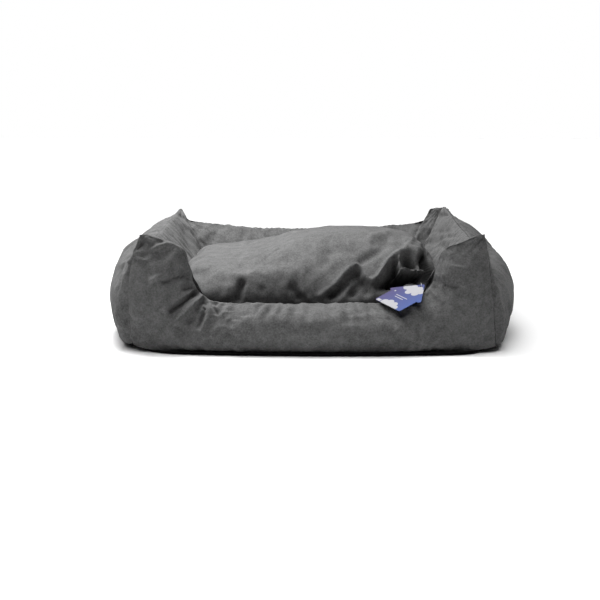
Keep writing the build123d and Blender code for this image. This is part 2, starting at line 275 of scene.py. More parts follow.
# Folds of the front wall, round the ends of its entry
FRONT_CREASES = (
    EAR_DENT,
    Crease(((197.0, 292.5), (184.0, 301.0), (171.0, 310.0)), 2.6, -0.0157, 1.0, 0.5),
    Crease(((190.0, 294.0), (178.0, 300.5), (164.0, 309.0)), 2.6, 0.0119, 0.5, 0.9),
    Crease(((202.0, 298.0), (189.0, 309.0), (176.0, 322.0)), 2.6, 0.0131, 0.6, 1.0),
    Crease(((203.0, 301.0), (197.0, 312.0), (188.0, 322.0)), 2.6, -0.0092, 1.0, 0.4),
    Crease(((210.0, 304.0), (209.0, 313.0), (202.5, 331.0)), 2.3, 0.0092, 0.5, 1.0),
    Crease(((207.0, 303.0), (204.5, 312.0), (198.5, 327.0)), 2.2, -0.0092, 0.8, 0.8),
    Crease(((217.0, 302.0), (219.0, 313.0), (216.0, 324.0)), 2.2, -0.0057, 1.0, 0.5),
    Crease(((153.0, 249.5), (160.0, 246.5), (167.5, 244.5)), 2.2, 0.0092, 1.0, 0.6),
    Crease(((138.5, 258.5), (145.5, 261.0)), 1.8, 0.0073),
    Crease(((152.0, 281.0), (161.0, 276.0), (170.0, 273.5)), 2.4, 0.0092, 1.0, 0.5),
    Crease(((163.0, 281.5), (175.0, 277.5), (187.0, 276.0)), 3.0, -0.0109, 0.5, 1.0),
    Crease(((183.0, 289.0), (194.0, 287.0)), 1.8, -0.0073),
    Crease(((127.0, 330.0), (135.0, 340.0)), 1.8, 0.0073),
    Crease(((434.0, 268.0), (446.0, 265.0), (466.0, 270.0)), 2.2, 0.0054, 0.6, 1.0),
    Crease(((436.0, 274.0), (446.0, 277.0), (461.0, 284.5)), 2.2, 0.0075, 0.8, 0.8),
    Crease(((434.0, 280.0), (443.0, 284.0), (456.0, 287.0)), 2.0, -0.0068, 1.0, 0.6),
    Crease(((430.0, 290.0), (436.0, 296.0), (442.0, 302.0)), 2.2, 0.0064, 0.8, 0.8),
    Crease(((434.0, 287.0), (443.0, 292.0), (452.0, 301.0)), 2.0, -0.0054, 1.0, 0.4),
    Crease(((427.0, 296.0), (429.0, 304.0), (434.0, 314.0)), 2.2, -0.0062, 1.0, 0.4),
)

# Folds of the left wall beside the front left ear
LEFT_CREASES = (
    EAR_DENT,
    Crease(((114.0, 267.0), (128.0, 261.5)), 3.0, 0.0060),
)

# Fine folds on the right wall's slope into the basin
RIGHT_SLOPE_CREASES = (
    Crease(((426.0, 237.0), (435.0, 232.0), (449.0, 230.5)), 1.2, -0.0020),
    Crease(((427.0, 241.0), (438.0, 235.5), (454.0, 234.0)), 1.2, 0.0018),
    Crease(((428.5, 244.0), (442.0, 238.5), (458.0, 237.0)), 1.2, -0.0020),
    Crease(((430.0, 248.0), (442.0, 242.0), (457.0, 239.5)), 1.2, 0.0018),
    Crease(((431.0, 251.5), (441.0, 246.0), (451.0, 243.5)), 1.2, -0.0018),
    Crease(((430.5, 214.5), (438.0, 215.5), (447.0, 215.0)), 1.5, -0.0060),
    Crease(((443.5, 248.5), (447.5, 246.0)), 1.2, -0.0070),
)

# Folds of the loose cushion: its front edge, its drawn-up right end and its crown
CUSHION_CREASES = (
    Crease(((352.0, 267.7), (345.5, 274.0), (336.6, 284.3), (327.7, 290.7), (320.0, 295.8)),
           3.2, 0.0085, 1.0, 0.5),
    Crease(((357.5, 269.0), (349.5, 278.0), (341.0, 287.5), (332.0, 296.0)), 4.6, -0.0230, 0.6, 1.0),
    Crease(((359.0, 273.0), (357.0, 284.0), (353.0, 294.0)), 5.2, -0.0190, 0.8, 1.0),
    Crease(((363.0, 282.0), (366.0, 291.0)), 5.0, -0.0150),
    Crease(((357.0, 265.2), (360.8, 267.7), (363.4, 274.0), (367.2, 279.2), (372.3, 281.1), (377.4, 277.9),
            (382.5, 270.3), (387.6, 261.3), (392.7, 256.2), (401.6, 249.8), (411.8, 242.2)),
           2.5, 0.0180, 0.7, 0.35),
    Crease(((396.0, 260.0), (393.0, 270.0), (388.5, 281.0)), 4.2, -0.0440, 0.7, 1.0),
    Crease(((398.0, 268.0), (397.0, 280.0)), 3.4, -0.0280),
    Crease(((381.0, 286.0), (392.0, 285.0), (402.0, 284.0)), 4.5, -0.0240),
    Crease(((409.0, 259.0), (413.5, 263.0)), 6.4, -0.0400),
    Crease(((402.0, 252.0), (411.0, 248.5), (417.5, 253.0), (421.0, 264.0)), 2.4, 0.0060),
    Crease(((399.3, 257.0), (399.0, 264.0), (399.3, 271.0)), 2.2, 0.0160),
    Crease(((399.0, 271.5), (404.0, 270.8), (409.5, 270.6), (415.0, 271.6), (421.0, 274.0)), 2.8, 0.0150),
    Crease(((396.0, 279.0), (408.0, 278.5), (421.0, 280.0)), 3.0, -0.0440),
    Crease(((427.5, 255.5), (429.5, 268.0), (431.0, 283.0)), 5.0, -0.0550),
    Crease(((242.0, 284.0), (239.5, 292.0), (238.0, 300.0)), 3.6, -0.0150, 1.0, 0.9),
    Crease(((246.5, 285.0), (245.0, 297.0)), 2.4, 0.0015),
    Crease(((229.0, 287.0), (225.0, 298.0)), 4.0, 0.0040),
    Crease(((262.0, 290.0), (262.0, 300.0)), 5.0, -0.0060),
    Crease(((293.0, 288.0), (298.0, 298.0)), 4.6, -0.0110),
    Crease(((303.0, 292.0), (308.0, 299.0)), 3.0, 0.0035),
    Crease(((372.0, 236.5), (391.4, 233.3), (404.0, 238.0), (419.5, 246.0)), 2.6, 0.0070),
    Crease(((374.0, 242.0), (388.0, 240.5), (402.0, 245.5)), 3.6, -0.0085),
    Crease(((331.0, 249.0), (342.0, 247.0), (353.0, 250.0)), 6.0, -0.0065),
    Crease(((304.0, 246.0), (318.0, 256.0), (330.0, 272.0)), 7.0, -0.0060),
    Crease(((384.0, 246.0), (374.0, 253.0), (362.0, 260.0)), 4.6, -0.0090),
)

# Shade painted on the basin's cloth beside the tag, placed by pixels, with a share of darkness in place of
# a height
BASIN_PAINTED_SHADE = (Crease(((419.0, 275.0), (426.0, 278.0), (431.0, 281.5)), 4.5, 1.0),)

# Shade painted into the cushion's gaps and the ends of its folds, where little light comes, with a share of
# darkness in place of a height
CUSHION_PAINTED_SHADE = (
    Crease(((400.0, 277.5), (412.0, 277.5), (424.0, 279.5), (432.0, 283.0)), 5.0, 1.0),
    Crease(((422.5, 258.0), (425.5, 266.0), (430.0, 273.0)), 3.4, 1.0),
    Crease(((398.0, 274.0), (391.0, 283.0), (383.0, 288.0)), 4.0, 0.5),
    Crease(((197.0, 286.0), (201.0, 291.0)), 3.5, 0.35),
    Crease(((240.5, 281.0), (239.0, 293.0)), 3.5, 0.35),
    Crease(((264.0, 298.0), (276.0, 299.0)), 3.5, 0.35),
    Crease(((297.0, 289.0), (301.0, 298.0)), 4.0, 0.30),
)


class Tap:
    """A socket of a finish, or a number, that takes part in sums."""

    def __init__(self, graph: Graph, socket: Any) -> None:
        self.graph = graph
        self.socket = socket

    def _sum(self, kind: str, first: Any, second: Any) -> Tap:
        return self.graph.add("ShaderNodeMath", {"operation": kind}, {0: first, 1: second})

    def __add__(self, other: Any) -> Tap:
        return self._sum("ADD", self, other)

    __radd__ = __add__

    def __sub__(self, other: Any) -> Tap:
        return self._sum("SUBTRACT", self, other)

    def __rsub__(self, other: Any) -> Tap:
        return self._sum("SUBTRACT", other, self)

    def __mul__(self, other: Any) -> Tap:
        return self._sum("MULTIPLY", self, other)

    def __truediv__(self, other: Any) -> Tap:
        return self._sum("DIVIDE", self, other)

    def __lt__(self, other: Any) -> Tap:
        return self._sum("LESS_THAN", self, other)

    def __abs__(self) -> Tap:
        return self._sum("ABSOLUTE", self, 0.0)

    def power(self, other: float) -> Tap:
        """This value to a power."""
        return self._sum("POWER", self, other)

    def most(self, other: Any) -> Tap:
        """The larger of this value and another."""
        return self._sum("MAXIMUM", self, other)

    def least(self, other: Any) -> Tap:
        """The smaller of this value and another."""
        return self._sum("MINIMUM", self, other)

    def ease(self, low: float, high: float) -> Tap:
        """0 below low, 1 above high, and smooth in between."""
        settings = {"interpolation_type": "SMOOTHSTEP"}
        values = {"Value": self, "From Min": low, "From Max": high}
        return self.graph.add("ShaderNodeMapRange", settings, values)


class Graph:
    """The nodes of one finish, or of the light around the bed."""

    def __init__(self, owner: Any) -> None:
        owner.use_nodes = True
        self.owner = owner
        self.tree = owner.node_tree
        self.tree.nodes.clear()

    @classmethod
    def of_finish(cls, name: str) -> Graph:
        """Empty nodes of a new finish."""
        return cls(bpy.data.materials.new(name))

    def add(self, kind: str, settings: dict[str, Any], values: dict[Any, Any], out: Any = 0) -> Tap:
        """Adds a node.

        Args:
            kind: The node's type.
            settings: Its settings, which are set first.
            values: Values or links of its input sockets, by name or number.
            out: Name or number of the output to take.

        Returns:
            The output socket.
        """
        node = self.tree.nodes.new(kind)
        for key, value in settings.items():
            setattr(node, key, value)
        for key, value in values.items():
            if isinstance(value, Tap):
                self.tree.links.new(value.socket, node.inputs[key])
            else:
                node.inputs[key].default_value = value
        return Tap(self, node.outputs[out] if node.outputs else None)

    def place(self) -> Tap:
        """Object coordinates, in metres."""
        return self.add("ShaderNodeTexCoord", {}, {}, "Object")

    def map_place(self) -> Tap:
        """The piece's own UV map."""
        return self.add("ShaderNodeTexCoord", {}, {}, "UV")

    def parts(self, vector: Tap) -> list[Tap]:
        """The three numbers of a vector."""
        split = self.add("ShaderNodeSeparateXYZ", {}, {0: vector})
        return [Tap(self, output) for output in split.socket.node.outputs]

    def noise(self, vector: Tap, rate: float, detail: float = 2.0, rough: float = 0.5) -> Tap:
        """Cloudy noise from about -1 to 1 with a number of clouds per metre."""
        values = {"Vector": vector, "Scale": rate, "Detail": detail, "Roughness": rough}
        return self.add("ShaderNodeTexNoise", {}, values, "Fac") * 2.0 - 1.0

    def tint(self, share: Tap, low: Any, high: Any) -> Tap:
        """Colour at a share of the way from low to high."""
        settings = {"data_type": "RGBA"}
        return self.add("ShaderNodeMix", settings, {0: share, 6: low, 7: high}, 2)

    def bump(self, height: Tap, distance: float, strength: float) -> Tap:
        """Normal of a surface whose height, from 0 to 1, spans a distance."""
        values = {"Height": height, "Distance": distance, "Strength": strength}
        return self.add("ShaderNodeBump", {}, values)

    def surface(self, values: dict[str, Any]) -> bpy.types.Material:
        """Ends the finish in one surface shader with these values or links."""
        shader = self.add("ShaderNodeBsdfPrincipled", {}, values)
        self.add("ShaderNodeOutputMaterial", {}, {"Surface": shader})
        return self.owner


def grey(level: float) -> Colour:
    """Opaque grey of a level."""
    return (level, level, level, 1.0)


@dataclass(frozen=True)
class Suede:
    """Brushed suede-like cloth with a mottled nap, dark seam lines on the walls, and painted shade in deep
    folds.

    Attributes:
        name: Name of the finish.
        level: Grey level of the nap.
        seams: Whether the piece's map has seams at its crest and at its ends.
        painted_shades: Whether the piece's deep folds and gaps are darkened with painted shade, read from a
            mark on each vertex.
        slope_length: Length of a wall's slope, from its foot to its crest.
        half_length: Half the length of a wall.
        seam_line: Half-width of a seam's dark line.
        seam_shade: How much darker a seam is.
        hollow_shade: How much darker the painted shade makes a deep fold or gap.
    """

    name: str
    level: float
    seams: bool = False
    painted_shades: bool = False
    slope_length: float = 0.28
    half_length: float = 0.42
    seam_line: float = 0.0006
    seam_shade: float = 0.75
    hollow_shade: float = 0.85

    def build(self) -> bpy.types.Material:
        """Makes the finish."""
        graph = Graph.of_finish(self.name)
        place = graph.place()
        cloud = graph.noise(place, 9.0, 3.0, 0.55)
        mottle = graph.noise(place, 55.0, 4.0, 0.65)
        nap = graph.noise(place, 260.0, 3.0, 0.6)
        grain = graph.noise(place, 1300.0, 2.0, 0.6)
        shade = 1.0 + cloud * 0.26 + mottle * 0.58 + nap * 0.70 + grain * 0.50
        line = graph.noise(place, 900.0, 1.0)
        height = mottle * 0.25 + nap * 0.45 + grain * 0.3
        if self.seams:
            across, along, _ = graph.parts(graph.map_place())
            crest = 1.0 - (abs(along - 1.0) * self.slope_length).ease(self.seam_line, 0.0018)
            ends = 1.0 - ((1.0 - abs(across)) * self.half_length).ease(self.seam_line, 0.0022)
            seam = crest.most(ends)
            # Seam lines are painted dark: partly the joints' own thread, partly painted shade of their
            # grooves, and more strongly towards the right (+X).
            firm = graph.parts(place)[0].ease(-0.42, 0.30) * 0.75 + 0.25
            shade = shade * (1.0 - seam * firm * self.seam_shade)
            height = height - seam * firm * 1.2 + line * seam * 0.3
        # Painted shade: the base colour is darker where a vertex is marked as lying in a deep fold or gap.
        if self.painted_shades:
            hollow = graph.add("ShaderNodeAttribute", {"attribute_name": "hollow"}, {}, "Fac")
            shade = shade * (1.0 - hollow * self.hollow_shade)
        level = graph.tint(shade * 0.5, grey(0.0), grey(self.level * 2.0))
        return graph.surface({
            "Base Color": level,
            "Roughness": 0.88 + mottle * 0.05,
            "Normal": graph.bump(height, 0.0012, 0.55),
            "Sheen Weight": 0.05,
            "Sheen Roughness": 0.4,
            "Sheen Tint": grey(0.8),
            "Specular IOR Level": 0.2,
        })


@dataclass(frozen=True)
class PlainCloth:
    """Woven cloth or fibre of one colour, such as the base cloth and the wadding.

    Attributes:
        name: Name of the finish.
        colour: Its colour.
        rate: Threads or fibres per metre.
        depth: Depth of the weave.
        wave_share: Scale of the threads' waves, as a share of the rate.
    """

    name: str
    colour: Colour
    rate: float
    depth: float
    wave_share: float = 0.05

    def build(self) -> bpy.types.Material:
        """Makes the finish."""
        graph = Graph.of_finish(self.name)
        place = graph.place()
        wave = {"Vector": place, "Scale": self.rate * self.wave_share}
        warp, weft = (graph.add("ShaderNodeTexWave", {"bands_direction": direction, "wave_profile": "SIN"},
                                wave, "Fac") for direction in "XY")
        fuzz = graph.noise(place, self.rate, 3.0, 0.6)
        cloud = graph.noise(place, 20.0)
        height = warp * weft + fuzz * 0.4
        dark = tuple(part * 0.6 for part in self.colour[:3]) + (1.0,)
        return graph.surface({
            "Base Color": graph.tint((height * 0.6 + cloud * 0.2).least(1.0), dark, self.colour),
            "Roughness": 0.9,
            "Normal": graph.bump(height, self.depth, 0.7),
            "Specular IOR Level": 0.1,
        })


@dataclass(frozen=True)
class ZipTape:
    """Black herringbone tape with a row of moulded teeth along its middle.

    Attributes:
        middle: Height of the row of teeth.
        half_row: Half the height of the row.
        rib: Width of one rib of the herringbone.
        name: Name of the finish.
    """

    middle: float = 0.085
    half_row: float = 0.0030
    rib: float = 0.0006
    name: str = "zip_tape"

    def build(self) -> bpy.types.Material:
        """Makes the finish."""
        graph = Graph.of_finish(self.name)
        place = graph.place()
        _, y, z = graph.parts(place)
        up = abs(z - self.middle)
        teeth = 1.0 - up.ease(self.half_row, self.half_row + 0.0003)
        ribs = graph.add("ShaderNodeMath", {"operation": "PINGPONG"}, {0: y + up * 0.8, 1: self.rib})
        slant = ribs / self.rib
        fuzz = graph.noise(place, 2500.0, 2.0)
        weave = slant * 0.7 + fuzz * 0.3
        cloth = graph.tint(weave, (0.012, 0.012, 0.013, 1.0), (0.038, 0.038, 0.041, 1.0))
        return graph.surface({
            "Base Color": graph.tint(teeth, cloth, (0.055, 0.055, 0.06, 1.0)),
            "Roughness": 0.88 - teeth * 0.5,
            "Normal": graph.bump(weave * (1.0 - teeth), 0.0003, 0.6),
            "Specular IOR Level": 0.3,
        })


@dataclass(frozen=True)
class Enamel:
    """Black enamelled zinc with light patches of wear."""

    name: str = "black_enamel"

    def build(self) -> bpy.types.Material:
        """Makes the finish."""
        graph = Graph.of_finish(self.name)
        place = graph.place()
        wear = graph.noise(place, 420.0, 4.0, 0.7).ease(0.35, 0.6)
        orange = graph.noise(place, 900.0, 2.0)
        return graph.surface({
            "Base Color": graph.tint(wear, (0.022, 0.022, 0.024, 1.0), (0.09, 0.09, 0.095, 1.0)),
            "Roughness": 0.32 + wear * 0.2,
            "Metallic": wear * 0.7,
            "Normal": graph.bump(orange, 0.0001, 0.3),
        })


@dataclass(frozen=True)
class Nylon:
    """Clear, slightly milky nylon filament."""

    name: str = "clear_nylon"

    def build(self) -> bpy.types.Material:
        """Makes the finish."""
        graph = Graph.of_finish(self.name)
        haze = graph.noise(graph.place(), 600.0, 2.0)
        return graph.surface({
            "Base Color": graph.tint(haze * 0.5 + 0.5, (0.62, 0.62, 0.66, 1.0), (0.8, 0.8, 0.84, 1.0)),
            "Roughness": 0.25,
            "Transmission Weight": 0.35,
            "IOR": 1.53,
        })


@dataclass(frozen=True)
class PrintedCard:
    """Laminated card, violet at one side and blue at the other, with plain white shapes.

    Attributes:
        foot: Middle of the card's foot.
        across: Direction of its width.
        upwards: Direction from its foot to its peak.
        name: Name of the finish.
        width: Width over which the ground goes from violet to blue.
        violet: Ground at the left.
        blue: Ground at the right.
        white: Tone of the shapes.
        ovals: Middle, half-width and half-height of each part of the clouds, and of the dots.
        bars: Middle, half-width and half-height of each bar.
    """

    foot: Spot
    across: Spot
    upwards: Spot
    name: str = "printed_card"
    width: float = 0.118
    violet: Colour = (0.050, 0.036, 0.100, 1.0)
    blue: Colour = (0.040, 0.075, 0.230, 1.0)
    white: Colour = (0.31, 0.31, 0.33, 1.0)
    ovals: tuple[tuple[float, ...], ...] = (
        (0.0, 0.080, 0.024, 0.013), (-0.022, 0.078, 0.009, 0.009), (-0.010, 0.088, 0.009, 0.009),
        (0.006, 0.090, 0.009, 0.009), (0.019, 0.083, 0.010, 0.010), (0.014, 0.070, 0.009, 0.009),
        (-0.004, 0.067, 0.009, 0.009), (0.002, 0.0, 0.022, 0.014), (-0.016, 0.006, 0.010, 0.010),
        (-0.004, 0.013, 0.009, 0.009), (0.011, 0.011, 0.009, 0.009), (0.022, 0.003, 0.008, 0.008),
        (-0.034, 0.052, 0.0022, 0.0022), (-0.030, 0.075, 0.0015, 0.0015))
    bars: tuple[tuple[float, ...], ...] = (
        (-0.034, 0.004, 0.006, 0.004), (0.0, 0.043, 0.019, 0.0011), (-0.002, 0.036, 0.014, 0.0011))

    def along(self, graph: Graph, place: Tap, direction: Spot) -> Tap:
        """Distance from the foot's middle along a direction."""
        away = graph.add("ShaderNodeVectorMath", {"operation": "SUBTRACT"}, {0: place, 1: self.foot})
        product = {"operation": "DOT_PRODUCT"}
        return graph.add("ShaderNodeVectorMath", product, {0: away, 1: direction}, "Value")

    def build(self) -> bpy.types.Material:
        """Makes the finish."""
        graph = Graph.of_finish(self.name)
        place = graph.place()
        x = self.along(graph, place, self.across)
        y = self.along(graph, place, self.upwards)

        def oval(left: float, up: float, wide: float, high: float) -> Tap:
            """1 inside an oval, 0 outside it."""
            reach = ((x - left) / wide).power(2.0) + ((y - up) / high).power(2.0)
            return 1.0 - reach.ease(0.94, 1.06)

        def bar(left: float, up: float, wide: float, high: float) -> Tap:
            """1 inside a bar, 0 outside it."""
            return (abs(x - left) < wide) * (abs(y - up) < high)

        shapes = [oval(*sizes) for sizes in self.ovals] + [bar(*sizes) for sizes in self.bars]
        share = (x / self.width + 0.5).least(1.0).most(0.0)
        ground = graph.tint(share, self.violet, self.blue)
        fibre = graph.noise(place, 500.0)
        return graph.surface({
            "Base Color": graph.tint(reduce(Tap.most, shapes), ground, self.white),
            "Roughness": 0.42 + fibre * 0.05,
            "Specular IOR Level": 0.12,
            "Coat Weight": 0.02,
            "Coat Roughness": 0.2,
        })


def fresh_grid(name: str, columns: int, rows: int) -> bpy.types.Object:
    """Adds a flat grid.

    Args:
        name: Name of the piece.
        columns: Cells across.
        rows: Cells along.

    Returns:
        The grid, which spans -1 to 1 both ways.
    """
    bpy.ops.object.select_all(action="DESELECT")
    bpy.ops.mesh.primitive_grid_add(x_subdivisions=columns, y_subdivisions=rows, size=2.0)
    grid = bpy.context.active_object
    grid.name = name
    grid.data.name = name
    return grid


def read_all(items: Any, name: str, width: int, kind: Any = float) -> Numbers:
    """Reads a property of every item of a mesh.

    Args:
        items: The mesh's vertices, edges, corners or map places.
        name: The property.
        width: How many numbers it has.
        kind: Their type.

    Returns:
        One row per item.
    """
    flat = np.empty(len(items) * width, dtype=kind)
    items.foreach_get(name, flat)
    return flat.reshape(-1, width)


def read_points(piece: bpy.types.Object) -> Numbers:
    """Places of a piece's vertices, one row each."""
    return read_all(piece.data.vertices, "co", 3)


def write_points(piece: bpy.types.Object, points: Numbers) -> None:
    """Moves a piece's vertices to new places."""
    piece.data.vertices.foreach_set("co", np.ascontiguousarray(points, dtype=np.float32).ravel())
    piece.data.update()


def read_normals(piece: bpy.types.Object) -> Numbers:
    """Normals of a piece's vertices, one row each."""
    return read_all(piece.data.vertex_normals, "vector", 3, np.float32).astype(float)


def read_corners(piece: bpy.types.Object) -> Numbers:
    """Number of the vertex at each corner of a piece's faces."""
    return read_all(piece.data.loops, "vertex_index", 1, np.int32)[:, 0]


def read_map(piece: bpy.types.Object) -> Numbers:
    """Place of each vertex on its piece's own map."""
    places = np.zeros((len(piece.data.vertices), 2))
    places[read_corners(piece)] = read_all(piece.data.uv_layers.active.data, "uv", 2)
    return places


def write_map(piece: bpy.types.Object, places: Numbers) -> None:
    """Gives each vertex of a piece its place on the piece's map."""
    layer = piece.data.uv_layers.active or piece.data.uv_layers.new(name="cloth")
    layer.data.foreach_set("uv", places[read_corners(piece)].astype(np.float32).ravel())


def write_painted_shade(piece: bpy.types.Object, shade_amounts: Numbers) -> None:
    """Marks how much painted shade darkens each vertex of a piece, from 0 to 1."""
    marks = piece.data.attributes.new("hollow", "FLOAT", "POINT")
    marks.data.foreach_set("value", np.clip(shade_amounts, 0.0, 1.0).astype(np.float32))


def select_only(piece: bpy.types.Object) -> None:
    """Selects one piece and makes it the active one."""
    bpy.ops.object.select_all(action="DESELECT")
    piece.select_set(True)
    bpy.context.view_layer.objects.active = piece


def apply_modifier(piece: bpy.types.Object, name: str, kind: str, settings: dict[str, Any]) -> None:
    """Puts a modifier with these settings into a piece's mesh."""
    select_only(piece)
    modifier = piece.modifiers.new(name, kind)
    for key, value in settings.items():
        setattr(modifier, key, value)
    bpy.ops.object.modifier_apply(modifier=modifier.name)


def subdivide(piece: bpy.types.Object) -> None:
    """Divides each face of a piece in four, smoothly."""
    apply_modifier(piece, "finer", "SUBSURF", {"levels": 1, "render_levels": 1, "uv_smooth": "NONE"})


def thicken(piece: bpy.types.Object, thickness: float) -> None:
    """Gives a sheet its thickness, upwards."""
    apply_modifier(piece, "thickness", "SOLIDIFY", {"thickness": thickness, "offset": 1.0})


def close_up(piece: bpy.types.Object, gap: float) -> None:
    """Joins a piece's edges that meet within a gap, closes its open ends and turns its faces outwards."""
    select_only(piece)
    bpy.ops.object.mode_set(mode="EDIT")
    bpy.ops.mesh.select_all(action="SELECT")
    bpy.ops.mesh.remove_doubles(threshold=gap)
    bpy.ops.mesh.select_all(action="DESELECT")
    bpy.ops.mesh.select_mode(type="EDGE")
    bpy.ops.mesh.select_non_manifold(extend=False, use_multi_face=False, use_verts=False)
    bpy.ops.mesh.fill_holes(sides=0)
    bpy.ops.mesh.select_all(action="SELECT")
    bpy.ops.mesh.normals_make_consistent(inside=False)
    bpy.ops.object.mode_set(mode="OBJECT")


def smooth_shade(piece: bpy.types.Object, angle: float = 50.0) -> None:
    """Shades a piece smoothly, apart from edges sharper than an angle."""
    select_only(piece)
    bpy.ops.object.shade_smooth_by_angle(angle=radians(angle))


def dress(piece: bpy.types.Object, finish: bpy.types.Material, body: str,
          stands_for: Sequence[str] = ()) -> None:
    """Gives a new piece its finish and body, and hides the nodes of the frame that it stands for."""
    piece.data.materials.clear()
    piece.data.materials.append(finish)
    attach(piece, body)
    if stands_for:
        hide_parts(*stands_for)
    log.info("%s: %d faces on %s", piece.name, len(piece.data.polygons), body)


def even_out(piece: bpy.types.Object, values: Numbers, rounds: int) -> Numbers:
    """Values of a piece's vertices, averaged with their neighbours a number of times."""
    near, far = read_all(piece.data.edges, "vertices", 2, np.int32).T
    count = len(values)
    shares = np.maximum(np.bincount(near, minlength=count) + np.bincount(far, minlength=count), 1)
    for _ in range(rounds):
        sums = [np.bincount(near, column[far], count) + np.bincount(far, column[near], count)
                for column in values.T]
        values = mix(values, np.stack(sums, 1) / shares[:, None], 0.7)
    return values


@dataclass(frozen=True)
class Stuffing:
    """Pressure of the fibre inside a sewn cover, worked out by a cloth simulation.

    Attributes:
        pressure: How hard the fibre pushes outwards.
        spare: Share by which the cloth is cut larger than its shape, which makes it wrinkle.
        reach: Most that a point may move, in metres.
        strength: How much of the wrinkles is kept.
        level_share: Share of the plain swelling that is taken back out, since the shape is already full.
        rounds: Rounds of averaging that tell the swelling from the wrinkles.
        stiffness: How stiffly the cloth resists being drawn out, pressed together or sheared.
        bend: How stiffly the cloth resists folding.
        mass: Mass of each vertex, in kilograms.
        frames: Steps of the simulation.
    """

    pressure: float
    spare: float
    reach: float
    strength: float = 1.4
    level_share: float = 0.85
    rounds: int = 60
    stiffness: float = 12.0
    bend: float = 0.4
    mass: float = 0.25
    frames: int = 20

    def fill(self, piece: bpy.types.Object, held: Numbers) -> None:
        """Swells a cover between its seams and keeps the swollen shape as its mesh.

        Args:
            piece: The cover, still without its fine folds.
            held: Whether each of its vertices is held by a seam.
        """
        seams = piece.vertex_groups.new(name="seams")
        seams.add([int(index) for index in np.flatnonzero(held)], 1.0, "REPLACE")
        cloth = piece.modifiers.new("stuffing", "CLOTH")
        settings = cloth.settings
        settings.quality = 5
        settings.mass = self.mass
        settings.tension_stiffness = self.stiffness
        settings.compression_stiffness = self.stiffness
        settings.shear_stiffness = self.stiffness
        settings.bending_stiffness = self.bend
        settings.use_pressure = True
        settings.uniform_pressure_force = self.pressure
        settings.shrink_min = -self.spare
        settings.vertex_group_mass = "seams"
        settings.effector_weights.gravity = 0.0
        cloth.collision_settings.use_collision = False
        cloth.collision_settings.use_self_collision = False
        cloth.point_cache.frame_start = 1
        cloth.point_cache.frame_end = self.frames
        scene = bpy.context.scene
        for frame in range(1, self.frames + 1):
            scene.frame_set(frame)
        swollen = piece.evaluated_get(bpy.context.evaluated_depsgraph_get())
        rest = read_points(piece)
        move = read_points(swollen) - rest
        move = (move - even_out(piece, move, self.rounds) * self.level_share) * self.strength
        move[held] = 0.0
        far = lengths(move)
        move = move * np.tanh(far / self.reach) * self.reach / np.maximum(far, 1e-9)
        piece.modifiers.remove(cloth)
        piece.vertex_groups.remove(seams)
        scene.frame_set(1)
        write_points(piece, rest + move)
        log.info("%s: stuffed, most move %.1f mm", piece.name, 1000 * lengths(move).max())


@dataclass(frozen=True)
class Sewing:
    """How the seams groove a wall's cloth and gather it, in metres.

    Attributes:
        crest_groove: Depth and half-width of the groove along the crest.
        end_groove: Depth and half-width of the groove at a wall's end.
        crest_puckers: Spacing of the crest's puckers, and their heights outside and inside.
        crest_reach: How far they reach at least, how much more they may, and how fast that changes.
        end_puckers: Spacing and height of the puckers at a wall's end.
        end_reach: How far they reach, as for the crest.
        foot_puckers: Spacing, height and reach of the puckers at the foot.
        fan: Angle between the folds that fan out from an ear, their height and their reach.
        crest_ease: Distance from a wall's end over which the crest's puckers rise.
        end_ease: Distance from a wall's end over which its own puckers rise.
        fan_eases: Distances from the ear's tip and from the wall's end over which its fan rises.
        foot_eases: Distances from the foot and from the wall's end over which the foot's puckers rise.
    """

    crest_groove: Pair = (0.0018, 0.0040)
    end_groove: Pair = (0.0016, 0.006)
    crest_puckers: Spot = (0.019, 0.0010, 0.0006)
    crest_reach: Spot = (0.018, 0.016, 0.09)
    end_puckers: Pair = (0.021, 0.0012)
    end_reach: Spot = (0.014, 0.012, 0.08)
    foot_puckers: Spot = (0.024, 0.0012, 0.022)
    fan: Spot = (0.42, 0.0042, 0.035)
    crest_ease: float = 0.02
    end_ease: float = 0.006
    fan_eases: Pair = (0.012, 0.008)
    foot_eases: Pair = (0.008, 0.03)

    @staticmethod
    def groove(sizes: Pair, away: Numbers) -> Numbers:
        """Depth of a groove at a distance from its seam."""
        depth, width = sizes
        return depth * hump(away, width)

    @staticmethod
    def fading(reach: Spot, away: Numbers, place: Numbers, seed: int) -> Numbers:
        """1 at a seam, fading over a distance that varies with the place along it."""
        least, more, spacing = reach
        return np.exp(-away / (least + more * (1.0 + ripple(place, spacing, seed))))


@dataclass(frozen=True)
class EarPatch:
    """Stretch of a wall beside an ear, where the cloth puffs out or sags.

    Attributes:
        run: Its middle, round the wall's section.
        height: Its half-height, round the section.
        ease: Distance from the ear over which it rises, in metres.
        fade: Where it starts to fade, and the distance that this takes.
    """

    run: float
    height: float
    ease: float
    fade: Pair

    def share(self, run: Numbers, away: Numbers) -> Numbers:
        """How fully the patch shows at a place round the section, away from the ear."""
        eased = bell(run, self.run, self.height) * ramp(away, 0.0, self.ease)
        return eased * (1.0 - ramp(away, *self.fade))


